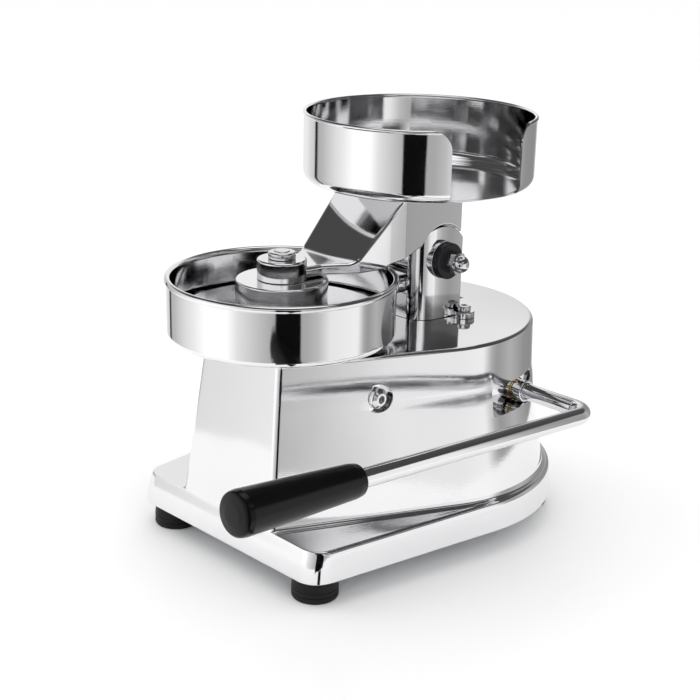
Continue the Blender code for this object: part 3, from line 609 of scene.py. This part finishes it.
def make_press_plate():
    low = 0.1680
    top = low + 0.0040
    profile = ((0, low, 0), (0.0705, low, 0.0008), (0.0705, top, 0.0010), (0.0312, top, 0.0016),
               (0.0312, 0.1945, 0.0014), (0.0053, 0.1945, 0), (0.0053, top, 0), (0, top, 0))
    plate = spun("press_plate_turned", profile, TURNED_CAST, 160)
    finish_piece(plate, "press_arm", ["press_plate"])
    profile = ((0, top + 0.0003, 0), (0.0050, top + 0.0003, 0.0004), (0.0050, 0.2136, 0.0009),
               (0, 0.2136, 0))
    stud = spun("press_stud_turned", profile, BRIGHT, 48)
    finish_piece(stud, "press_arm", ["press_stud"])
    nut_low = 0.2087
    profile = ((0.0053, nut_low, 0), (0.0094, nut_low, 0.0003), (0.0094, nut_low + 0.0044, 0.0014),
               (0.0053, nut_low + 0.0044, 0.0003))
    nut = spun("stud_nut_turned", profile, BRIGHT, 64)
    finish_piece(nut, "press_arm", ["stud_nut"])


def make_feet():
    for side, x, y in FEET:
        corners = [(0.0033, 0.0070, 0), (0.0070, 0.0070, 0), (0.0070, 0, 0.0005), (0.0150, 0, 0.0010),
                   (0.0158, 0.0016, 0.0006)]
        for groove in (0.0040, 0.0074):
            corners += [(0.0158, groove, 0.0002), (0.0154, groove + 0.0003, 0.0002),
                        (0.0154, groove + 0.0007, 0.0002), (0.0157, groove + 0.0010, 0.0002)]
        corners += [(0.0151, 0.0150, 0.0007), (0.0033, 0.0150, 0)]
        foot = spun("rubber_foot_" + side, corners, RUBBER, 72)
        move(foot, Matrix.Translation((x, y, 0)))
        finish_piece(foot, "base", ["foot_" + side])


# Fasteners.

def socket_screw(name, head_radius, height, socket_depth, shank_radius, shank_low):
    """Cap screw about Z, its head standing on z = 0, with a hexagon socket."""
    corners = [(0, shank_low, 0), (shank_radius, shank_low, 0.0004), (shank_radius, 0, 0),
               (head_radius, 0, 0.0003), (head_radius, height, 0.0008), (0, height, 0)]
    screw = spun(name, corners, BRIGHT, 48)
    socket = rounded([(x, y, 0) for x, y in arc(0, 0, head_radius * 0.52, 0, 300, 6)])
    return cut(screw, prism("socket", socket, height - socket_depth, height + 0.0020))


def dome_nut():
    low = 0.0413
    across = 0.0140 / math.sqrt(3)
    hexagon = rounded([(x, y, 0.0006) for x, y in arc(0, 0, across, 30, 330, 6)], 3)
    nut = prism("cap_nut", hexagon, low, low + 0.0082, BRIGHT)
    outline = [(0, low - 0.0010), (across - 0.0006, low - 0.0010), (across + 0.0012, low + 0.0012),
               (across + 0.0012, low + 0.0066), (across - 0.0010, low + 0.0092), (0, low + 0.0092)]
    cone = turned("cone", outline, steps=64)
    combine(nut, cone, "INTERSECT")
    profile = [(0, low + 0.0060), (0.0064, low + 0.0060)] + arc(0, low + 0.0089, 0.0064, 0, 90, 14)[:-1]
    profile.append((0, low + 0.0153))
    add(nut, turned("dome", profile, steps=48))
    blind = [(0, low - 0.0020), (PIVOT_BORE, low - 0.0020), (PIVOT_BORE, low + 0.0097), (0, low + 0.0097)]
    cut(nut, turned("blind", blind, steps=40))
    return along_x(nut, PIVOT)


def make_pivot():
    right = CHEEK_HALF + 0.0003
    left = -right
    profile = ((0.0053, right, 0), (0.0130, right, 0.0006), (0.0130, right + 0.0056, 0.0010),
               (0.0053, right + 0.0056, 0.0004))
    washer = spun("pivot_washer_dark", profile, BLACK_OXIDE, 72)
    finish_piece(along_x(washer, PIVOT), "base", ["pivot_washer"])
    profile = ((0.0053, left - 0.0020, 0), (0.0110, left - 0.0020, 0.0003), (0.0110, left, 0.0003),
               (0.0053, left, 0))
    plain = spun("pivot_washer_plain", profile, BRIGHT, 64)
    finish_piece(along_x(plain, PIVOT), "base", ["pivot_washer_left"])
    finish_piece(dome_nut(), "base", ["pivot_nut"])
    head = left - 0.0023
    across = 0.0170 / math.sqrt(3)
    hexagon = rounded([(x, y, 0.0005) for x, y in arc(0, 0, across, 30, 330, 6)], 3)
    bolt = prism("pivot_bolt_head", hexagon, head - 0.0064, head, BRIGHT)
    outline = [(0, head - 0.0070), (across - 0.0018, head - 0.0066), (across + 0.0012, head - 0.0044),
               (across + 0.0012, head + 0.0010), (0, head + 0.0010)]
    cone = turned("cone", outline, steps=64)
    combine(bolt, cone, "INTERSECT")
    shank = [(0, head - 0.0030), (0.0050, head - 0.0030), (0.0050, 0.0505), (0, 0.0505)]
    add(bolt, turned("shank", shank, steps=48))
    finish_piece(along_x(bolt, PIVOT), "base", ["pivot_bolt"])


def make_screws():
    for side, sign in (("left", -1), ("right", 1)):
        yoke_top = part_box("yoke_screw_" + side)[1].z
        screw = socket_screw("yoke_screw_cap_" + side, 0.0050, 0.0036, 0.0020, 0.0030, -0.0128)
        move(screw, Matrix.Translation((sign * YOKE_SCREWS[1][0], YOKE_SCREWS[1][1], yoke_top - 0.0036)))
        finish_piece(screw, "base", ["yoke_screw_" + side])
        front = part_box("web_screw_" + side)[0].y - AXIS.y
        screw = socket_screw("web_screw_cap_" + side, 0.0064, 0.0068, 0.0036, 0.0030, -0.0062)
        place = Matrix.Translation((sign * WEB_SCREW_X, front + 0.0068, WEB_SCREW_Z))
        move(screw, place @ Matrix.Rotation(math.pi / 2, 4, "X"))
        finish_piece(screw, "base", ["web_screw_" + side])
        tray_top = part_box("tray_screw_" + side)[1].z
        screw = socket_screw("tray_screw_cap_" + side, 0.0048, 0.0026, 0.0014, 0.0025, -0.0100)
        move(screw, Matrix.Translation((sign * TRAY_SCREWS[1][0], TRAY_SCREWS[1][1], tray_top - 0.0026)))
        finish_piece(screw, "press_arm", ["tray_screw_" + side])


def make_rocker_bolt():
    seat = 0.0658
    profile = ((0, -seat - 0.0075, 0), (0.0040, -seat - 0.0075, 0.0006), (0.0040, seat, 0),
               (0.0072, seat, 0.0004), (0.0072, seat + 0.0030, 0.0020), (0.0044, seat + 0.0050, 0.0012),
               (0, seat + 0.0050, 0))
    bolt = spun("cross_bolt", profile, BRIGHT, 64)
    socket = rounded([(x, y, 0) for x, y in arc(0, 0, 0.0031, 0, 300, 6)])
    cut(bolt, prism("socket", socket, seat + 0.0020, seat + 0.0080))
    finish_piece(along_x(bolt, ROCKER), "base", ["rocker_bolt"])
    hexagon = rounded([(x, y, 0.0005) for x, y in arc(0, 0, 0.0130 / math.sqrt(3), 30, 330, 6)], 3)
    nut = prism("cross_nut", hexagon, -seat - 0.0062, -seat, BRIGHT)
    cut(nut, turned("bore", [(0, -seat - 0.0100), (0.0043, -seat - 0.0100), (0.0043, 0), (0, 0)], steps=40))
    finish_piece(along_x(nut, ROCKER), "base", ["rocker_nut"])


# Press arm.

ARM_REAR_Y = 0.1412
ARM_TOP = 0.2442
ARM_ARC = 0.0250
ARC_FRONT_Y = 0.1009
BOSS_LOW = 0.1948
BAR_LOW = 0.1956
RAMP_SLOPE = 0.971
RAMP_FOOT_Y = 0.0422
PLATE_TOP = 0.2029


def arm_top(y):
    """Top of the arm: flat plate, blended into the ramp, then flat under the tray."""
    blend = 0.0040
    t = (y - (RAMP_FOOT_Y - blend)) / (2 * blend)
    if t <= 0:
        rise = 0.0
    elif t < 1:
        rise = RAMP_SLOPE * blend * t * t
    else:
        rise = RAMP_SLOPE * (y - RAMP_FOOT_Y)
    return min(ARM_TOP, PLATE_TOP + rise)


def arm_low(y):
    points = ((-0.01, BAR_LOW), (0.0640, BAR_LOW), (0.0710, 0.1981), (0.0810, 0.1995), (ARC_FRONT_Y, 0.2063))
    if y >= ARC_FRONT_Y:
        return PIVOT.z + math.sqrt(max(0.0, ARM_ARC ** 2 - (y - PIVOT.y) ** 2))
    for (y0, z0), (y1, z1) in zip(points, points[1:]):
        if y0 <= y <= y1:
            return z0 + (z1 - z0) * (y - y0) / (y1 - y0)
    return points[0][1]


def arm_half(y):
    points = ((-0.0100, 0.0123), (-0.0050, 0.0125), (0.0225, 0.0150), (0.0445, 0.0285), (0.0700, 0.0320),
              (0.0840, 0.0335), (0.1500, 0.0335))
    for (y0, x0), (y1, x1) in zip(points, points[1:]):
        if y0 <= y <= y1:
            return x0 + (x1 - x0) * (y - y0) / (y1 - y0)
    return points[-1][1]


def make_arm():
    ramp_end = RAMP_FOOT_Y + (ARM_TOP - PLATE_TOP) / RAMP_SLOPE
    stations = [-0.0040 + 0.0040 * k for k in range(10)]
    stations += [0.0215, 0.0225, 0.0235, 0.0435, 0.0445, 0.0455] + [0.0382 + 0.0010 * k for k in range(9)]
    stations += [0.0500, 0.0560, 0.0620, 0.0635, 0.0640, 0.0645, 0.0675, 0.0700, 0.0710, 0.0720, 0.0740]
    stations += [0.0780, 0.0805, 0.0810, 0.0815, 0.0835, 0.0840, ramp_end, 0.0870, 0.0900, 0.0940, 0.0980]
    stations += [ARC_FRONT_Y - 0.0003, ARC_FRONT_Y]
    stations += [PIVOT.y + ARM_ARC * math.cos(math.radians(a)) for a in range(148, 40, -4)]
    stations = sorted(set(round(y, 5) for y in stations if y < ARM_REAR_Y - 0.0013))
    rows = [(y, 0.0) for y in stations]
    easing = [math.pi / 2 * k / 4 for k in range(5)]
    rows += [(ARM_REAR_Y - 0.0012 * (1 - math.sin(a)), 0.0012 * (1 - math.cos(a))) for a in easing]
    sections = []
    for y, inset in rows:
        half = arm_half(y) - inset
        low, top = arm_low(y) + inset, arm_top(y) - inset
        edge = 0.0026 if y < 0.0800 else 0.0016
        under = 0.0014
        corners = ((half, low, under), (half, top, edge), (-half, top, edge), (-half, low, under))
        sections.append([(x, y, z) for x, z in rounded(corners, 7)])
    arm = loft("press_arm_casting", sections, CASTING)
    add(arm, prism("neck", ((-0.0165, 0.1095), (0.0165, 0.1095), (0.0165, 0.1355), (-0.0165, 0.1355)),
                   PIVOT.z, 0.2220),
        along_x(spun("hub", ((0, -0.0165, 0), (0.0156, -0.0165, 0.0010), (0.0156, 0.0165, 0.0010),
                                            (0, 0.0165, 0)), steps=96), PIVOT))
    profile = ((0, BOSS_LOW, 0), (0.0168, BOSS_LOW, 0.0004), (0.0168, 0.2084, 0.0016), (0, 0.2084, 0))
    boss = spun("boss", profile, steps=128)
    add(arm, boss)
    tail = PIVOT + TAIL
    turn = math.degrees(math.atan2(TAIL.z, TAIL.y))
    outline = arc(tail.y, tail.z, 0.0070, turn - 90, turn + 90, 24)
    outline += arc(PIVOT.y, PIVOT.z, 0.0070, turn + 90, turn + 270, 12)
    add(arm, prism("tail", outline, -0.0080, -0.0010, edge=0.0006, axis="X"))
    cut(arm, rod_x("bore", PIVOT, PIVOT_BORE, -0.05, 0.05), rod_x("bore", tail, SCREW_BORE, -0.02, 0.01),
        rod_z("bore", 0, 0, PIVOT_BORE, 0.18, 0.22))
    for x, y in TRAY_SCREWS:
        cut(arm, rod_z("bore", x, y, 0.0028, ARM_TOP - 0.0120, ARM_TOP + 0.0050))
    finish_piece(arm, "press_arm", ["press_arm"], sharp=40)


# Yoke.

def make_yoke():
    """Two cheeks and a front web, the cheeks round at their front corners, with a screw ear each side."""
    low, half = BODY_TOP + 0.0003, CHEEK_HALF
    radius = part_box("yoke")[1].z - PIVOT.z
    front, rear = PIVOT.y - 0.0195, PIVOT.y + 0.0195
    corner = math.degrees(math.acos(0.0195 / radius))
    outline = [(front, low), (rear, low)] + [(rear, z) for z in (0.1700, 0.1850, 0.2000)]
    outline += arc(PIVOT.y, PIVOT.z, radius, corner, 180 - corner, 41)
    outline += [(front, z) for z in (0.2000, 0.1850, 0.1700)]
    yoke = prism("pivot_yoke", outline, -half, half, CASTING, edge=0.0016, axis="X", steps=5)
    bend, crowning = 0.0160, 10
    turn = math.radians(crowning)
    crown = (rear - front - bend * (1 - math.sin(turn))) / math.sin(turn)
    middle = half - crown * (1 - math.cos(turn)) - bend * math.cos(turn)
    right = [(half, rear + 0.0100)] + arc(half - crown, rear, crown, 0, -crowning, 16)[:-1]
    right += arc(middle, front + bend, bend, -crowning, -90, 40)
    plan = right + [(-x, y) for x, y in reversed(right)]
    combine(yoke, prism("plan", plan, 0.1400, 0.2300), "INTERSECT")
    for low_x, high_x in ((0.0240, half), (-half, -0.0240)):
        profile = ((0, low_x, 0), (0.0134, low_x, 0.0004), (0.0134, high_x, 0.0004), (0, high_x, 0))
        seat = spun("seat", profile, steps=96)
        add(yoke, along_x(seat, PIVOT))
    web_rear, beyond, floor = front + 0.0046, 0.0100, 0.1555
    gap = [(web_rear, floor, 0.0010), (rear + beyond, floor, 0), (rear + beyond, 0.2300, 0),
           (front - beyond, 0.2300, 0), (front - beyond, 0.1830, 0), (web_rear, 0.1830, 0)]
    cut(yoke, prism("gap", rounded(gap), -0.0179, 0.0179, axis="X"))
    for x, y in YOKE_SCREWS:
        inner = math.copysign(half - 0.0050, x)
        profile = ((0, low, 0), (0.0078, low, 0), (0.0078, 0.1546, 0.0009), (0, 0.1546, 0))
        ear = spun("ear", profile, steps=64)
        root = block("root", (min(x, inner), y - 0.0072, low), (max(x, inner), y + 0.0020, 0.1546))
        add(yoke, move(ear, Matrix.Translation((x, y, 0))), root)
        cut(yoke, rod_z("bore", x, y, SCREW_BORE, low - 0.0050, 0.1610))
    cut(yoke, rod_x("bore", PIVOT, PIVOT_BORE, -0.05, 0.05))
    for x in (-WEB_SCREW_X, WEB_SCREW_X):
        bore = turned("bore", [(0, 0), (SCREW_BORE, 0), (SCREW_BORE, 0.0180), (0, 0.0180)], steps=32)
        place = Matrix.Translation((x, front - 0.0100, WEB_SCREW_Z))
        cut(yoke, move(bore, place @ Matrix.Rotation(-math.pi / 2, 4, "X")))
    finish_piece(yoke, "base", ["yoke"], sharp=40)


# Paper tray.

def make_tray():
    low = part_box("paper_tray")[0].z
    profile = dish_profile(0.0826, low, 0.2928, 0.0014, 0.0013, 0.0080, 0)
    tray = turned("paper_tray_spun", profile, TRAY_STEEL, 220)
    half, corner, top = 0.0300, 0.0140, 0.2942
    right = [(half, low + 0.0016)]
    right += [(half + corner - x, top - corner + z) for x, z in arc(0, 0, corner, 0, 90, 16)]
    right.append((half + corner, top + 0.0100))
    outline = right + [(-y, z) for y, z in reversed(right)]
    notch = prism("notch", outline, 0.0413, 0.1026, axis="X")
    move(notch, Matrix.Rotation(math.radians(-10), 4, "Z"))
    cut(tray, notch)
    for x, y in TRAY_SCREWS:
        cut(tray, rod_z("bore", x, y - TRAY_CENTRE.y, 0.0028, low - 0.01, low + 0.01))
    move(tray, Matrix.Translation(TRAY_CENTRE))
    finish_piece(tray, "press_arm", ["paper_tray"])


# Lever.

def make_lever():
    rise = math.radians(3.7)
    forward = Vector((0, -math.cos(rise), math.sin(rise)))
    across = Vector((1, 0, 0))
    bend = 0.0150
    corner = Vector((0.1505, SHAFT.y, SHAFT.z))
    centre = corner - across * bend + forward * bend
    radius = 0.0060
    grip_start, grip_length = 0.2240, 0.0945
    route = [(Vector((-0.0820, SHAFT.y, SHAFT.z)), across, radius - 0.0005),
             (Vector((-0.0815, SHAFT.y, SHAFT.z)), across, radius)]
    for i in range(25):
        a = math.pi / 2 * i / 24
        route.append((centre + bend * (across * math.sin(a) - forward * math.cos(a)),
                      (across * math.cos(a) + forward * math.sin(a)).normalized(), radius))
    end = corner + forward * (grip_start + grip_length * 0.75)
    route += [(end - forward * 0.0005, forward, radius), (end, forward, radius - 0.0005)]
    side = across.cross(forward).normalized()
    sections = []
    for place, direction, size in route:
        other = direction.cross(side).normalized()
        angles = [2 * math.pi * k / 48 for k in range(48)]
        sections.append([place + size * (side * math.cos(a) + other * math.sin(a)) for a in angles])
    finish_piece(loft("lever_bar_bent", sections, BAR_STEEL), "lever", ["lever_bar"])

    deep = grip_length * 0.8
    profile = ((0.0063, 0, 0.0004), (0.0098, 0, 0.0016), (0.0107, 0.0060, 0.0040),
               (0.0109, 0.0120, 0.02), (0.0124, 0.0500, 0.05), (0.0136, grip_length - 0.0060, 0.0030),
               (0.0128, grip_length - 0.0012, 0.0028), (0.0060, grip_length - 0.0002, 0.0100),
               (0, grip_length, 0), (0, deep, 0), (0.0063, deep, 0))
    grip = spun("moulded_grip", profile, GRIP_PLASTIC, 96)
    turn = forward.to_track_quat("Z", "Y").to_matrix().to_4x4()
    move(grip, Matrix.Translation(corner + forward * grip_start) @ turn)
    finish_piece(grip, "lever", ["grip"])

    profile = ((0.0063, 0.0875, 0), (0.0080, 0.0875, 0.0005), (0.0080, 0.0935, 0.0007),
               (0.0063, 0.0935, 0.0003))
    collar = spun("shaft_collar_turned", profile, BRIGHT, 72)
    finish_piece(along_x(collar, SHAFT), "lever", ["shaft_collar"])
    profile = ((0.0063, 0.0640, 0), (0.0080, 0.0640, 0), (0.0080, 0.0826, 0.0004),
               (0.0063, 0.0826, 0.0003))
    bush = spun("shaft_bush_turned", profile, BRASS, 72)
    finish_piece(along_x(bush, SHAFT), "base", ["shaft_bush_right"])


make_casting()
make_bowl()
make_ejector()
make_press_plate()
make_feet()
make_pivot()
make_screws()
make_rocker_bolt()
make_arm()
make_yoke()
make_tray()
make_lever()


# Studio: floor, reflector surround with a dark card, soft lights and camera.

def plane(name, corners, finish):
    bm = bmesh.new()
    bm.faces.new([bm.verts.new(corner) for corner in corners])
    return mesh_object(name, bm, finish)


def make_floor():
    made, tree, shader = node_material("floor_paper", (0.95, 0.95, 0.95), 0.0)
    shader.inputs["Roughness"].default_value = 0.75
    grain = bump(tree, noise(tree, object_vector(tree), 400.0, 2.0), 0.05, 0.0005)
    link(tree, grain, "Normal", shader, "Normal")
    size = 6.0
    floor = plane("floor", ((-size, -size, 0), (size, -size, 0), (size, size, 0), (-size, size, 0)), made)


# Brightness of the surround by compass angle, in degrees from the front towards the lever side.
# Upright walls mirror the first list, the bowl's inside, the hub and the body top the second, and the inside
# of the tray the third.
LOW_SURROUND = ((-180, 0.30), (-172, 0.30), (-160, 0.80), (-105, 0.95), (-90, 0.75), (-84, 0.70),
                (-83, 0.02), (-79, 0.02), (-78, 0.50), (-70, 0.55), (-50, 0.84), (-38, 0.98),
                (-25, 1.20), (-4, 1.20), (6, 0.88), (27, 0.58), (37, 0.45), (45, 0.42), (66, 0.46),
                (77, 0.58), (90, 0.93), (122, 1.02), (130, 0.48), (136, 0.36), (150, 0.50), (168, 0.32),
                (180, 0.30))
MIDDLE_SURROUND = ((-180, 0.10), (-166, 0.20), (-158, 0.92), (-108, 0.92), (-98, 0.60), (-60, 0.60),
                   (-40, 0.95), (-2, 0.95), (10, 0.95), (62, 1.00), (70, 0.50), (78, 0.08), (140, 0.06),
                   (180, 0.10))
HIGH_SURROUND = ((-180, 0.10), (-166, 0.20), (-158, 0.90), (-108, 0.90), (-98, 0.30), (-64, 0.10),
                 (-46, 0.12), (-34, 0.95), (-2, 0.95), (12, 0.25), (22, 0.06), (60, 0.06), (80, 0.20),
                 (86, 0.95), (94, 0.95), (101, 0.12), (136, 0.06), (180, 0.10))
SURROUND_PEAK = 1.5


def surround_levels(tree, around, levels):
    ramp = tree.nodes.new("ShaderNodeValToRGB")
    stops = ramp.color_ramp.elements
    while len(stops) > 1:
        stops.remove(stops[-1])
    for i, (angle, level) in enumerate(levels):
        stop = stops[0] if i == 0 else stops.new((angle + 180) / 360)
        stop.position = (angle + 180) / 360
        stop.color = (*[level / SURROUND_PEAK] * 3, 1)
    link(tree, around, 0, ramp, 0)
    return ramp


def blend(tree, height, low, high, below, above):
    """Go over from one colour to another between two heights."""
    step = tree.nodes.new("ShaderNodeMapRange")
    step.inputs["From Min"].default_value = low
    step.inputs["From Max"].default_value = high
    link(tree, height, "Z", step, "Value")
    mix = tree.nodes.new("ShaderNodeMix")
    mix.data_type = "RGBA"
    link(tree, step, 0, mix, "Factor")
    tree.links.new(below, mix.inputs["A"])
    if isinstance(above, float):
        mix.inputs["B"].default_value = (*[above / SURROUND_PEAK] * 3, 1)
    else:
        tree.links.new(above, mix.inputs["B"])
    return mix.outputs["Result"]


def make_surround():
    made = bpy.data.materials.new("reflector")
    made.use_nodes = True
    tree = made.node_tree
    tree.nodes.clear()
    place = tree.nodes.new("ShaderNodeTexCoord")
    split = tree.nodes.new("ShaderNodeSeparateXYZ")
    link(tree, place, "Object", split, 0)
    back = tree.nodes.new("ShaderNodeMath")
    back.operation = "MULTIPLY"
    back.inputs[1].default_value = -1
    link(tree, split, "Y", back, 0)
    turn = tree.nodes.new("ShaderNodeMath")
    turn.operation = "ARCTAN2"
    link(tree, split, "X", turn, 0)
    link(tree, back, 0, turn, 1)
    around = spread(tree, turn, 0, 1, -math.pi, math.pi)
    low = surround_levels(tree, around, LOW_SURROUND)
    middle = surround_levels(tree, around, MIDDLE_SURROUND)
    high = surround_levels(tree, around, HIGH_SURROUND)
    colour = blend(tree, split, 0.24, 0.28, low.outputs["Color"], middle.outputs["Color"])
    colour = blend(tree, split, 0.355, 0.385, colour, high.outputs["Color"])
    colour = blend(tree, split, 0.44, 0.52, colour, 0.07)
    colour = blend(tree, split, 0.68, 0.72, colour, 1.30)
    glow = tree.nodes.new("ShaderNodeEmission")
    tree.links.new(colour, glow.inputs["Color"])
    glow.inputs["Strength"].default_value = SURROUND_PEAK
    output = tree.nodes.new("ShaderNodeOutputMaterial")
    link(tree, glow, 0, output, "Surface")

    radius, steps = 0.45, 180
    outline = [(radius, 0.001), (radius, 0.10), (radius, 0.20), (radius, 0.30)]
    outline += [(radius * math.cos(math.radians(a)), 0.30 + radius * math.sin(math.radians(a)))
                for a in range(5, 90, 5)]
    bm = bmesh.new()
    rings = [[bm.verts.new((r * math.cos(2 * math.pi * k / steps), r * math.sin(2 * math.pi * k / steps), z))
              for k in range(steps)] for r, z in outline]
    for lower, upper in zip(rings, rings[1:]):
        for k in range(steps):
            j = (k + 1) % steps
            bm.faces.new((lower[k], lower[j], upper[j], upper[k]))
    bm.faces.new(rings[-1])
    surround = mesh_object("surround", bm, made)
    surround.data.shade_smooth()
    only_reflected(surround)


def only_reflected(item):
    item.visible_camera = False
    item.visible_diffuse = False
    item.visible_shadow = False
    item.visible_transmission = False
    item.visible_volume_scatter = False


def make_card():
    made = bpy.data.materials.new("black_card")
    made.use_nodes = True
    made.node_tree.nodes["Principled BSDF"].inputs["Base Color"].default_value = (0.004, 0.004, 0.004, 1)
    made.node_tree.nodes["Principled BSDF"].inputs["Specular IOR Level"].default_value = 0
    near, far = (0.1610, -0.2250), (0.3088, -0.1843)
    card = plane("black_card", ((*near, 0.0005), (*far, 0.0005), (*far, 0.26), (*near, 0.26)), made)
    only_reflected(card)
    corner = AXIS + Vector((0.0925, -0.0520, 0))
    strip = []
    for reach, angle in ((0.012, 50), (0.20, 50), (0.20, 63), (0.012, 63)):
        turn = math.radians(angle)
        strip.append((corner.x + reach * math.sin(turn), corner.y - reach * math.cos(turn), 0.0006))
    only_reflected(plane("black_cloth", strip, made))


def area_light(name, place, target, size, power):
    light = bpy.data.lights.new(name, "AREA")
    light.shape = "RECTANGLE"
    light.size, light.size_y = size
    light.energy = power
    item = bpy.data.objects.new(name, light)
    bpy.context.scene.collection.objects.link(item)
    item.location = place
    item.rotation_euler = (Vector(target) - Vector(place)).to_track_quat("-Z", "Y").to_euler()
    item.visible_glossy = False
    return item


def make_lights():
    area_light("key", (-1.2, -1.0, 1.6), (0, 0, 0.1), (1.4, 1.4), 6)
    area_light("fill", (1.5, -0.2, 1.2), (0, 0, 0.1), (1.2, 1.2), 3)
    area_light("top", (0, 0.5, 2.0), (0, 0, 0), (1.8, 1.8), 3)
    world = bpy.data.worlds.new("studio")
    bpy.context.scene.world = world
    world.use_nodes = True
    back = world.node_tree.nodes["Background"]
    back.inputs["Color"].default_value = (1.0, 1.0, 1.0, 1)
    back.inputs["Strength"].default_value = 1.04


def make_camera():
    """Camera in front of the machine's right-hand corner, a little above the bowl."""
    turn, tilt, roll = 0.800773, 0.323237, 0.0232186
    target_z, distance = 0.195047, 0.957347
    shift_side, shift_top = 0.045682, -0.048726
    right = Vector((math.cos(turn), math.sin(turn), 0))
    ahead = Vector((-math.sin(turn), math.cos(turn), 0))
    up = Vector((0, 0, 1))
    forward = ahead * math.cos(tilt) - up * math.sin(tilt)
    above = up * math.cos(tilt) + ahead * math.sin(tilt)
    side = right * math.cos(roll) + above * math.sin(roll)
    top = above * math.cos(roll) - right * math.sin(roll)
    target = AXIS + Vector((0, 0, target_z))
    place = target - forward * distance + side * shift_side + top * shift_top
    data = bpy.data.cameras.new("camera")
    data.sensor_width = 36
    data.lens = 73.5319
    data.clip_start = 0.02
    camera = bpy.data.objects.new("camera", data)
    bpy.context.scene.collection.objects.link(camera)
    camera.matrix_world = Matrix(((side.x, top.x, -forward.x, place.x), (side.y, top.y, -forward.y, place.y),
                                  (side.z, top.z, -forward.z, place.z), (0, 0, 0, 1)))
    bpy.context.scene.camera = camera


make_floor()
make_surround()
make_card()
make_lights()
make_camera()
bpy.context.scene.view_settings.view_transform = "Standard"
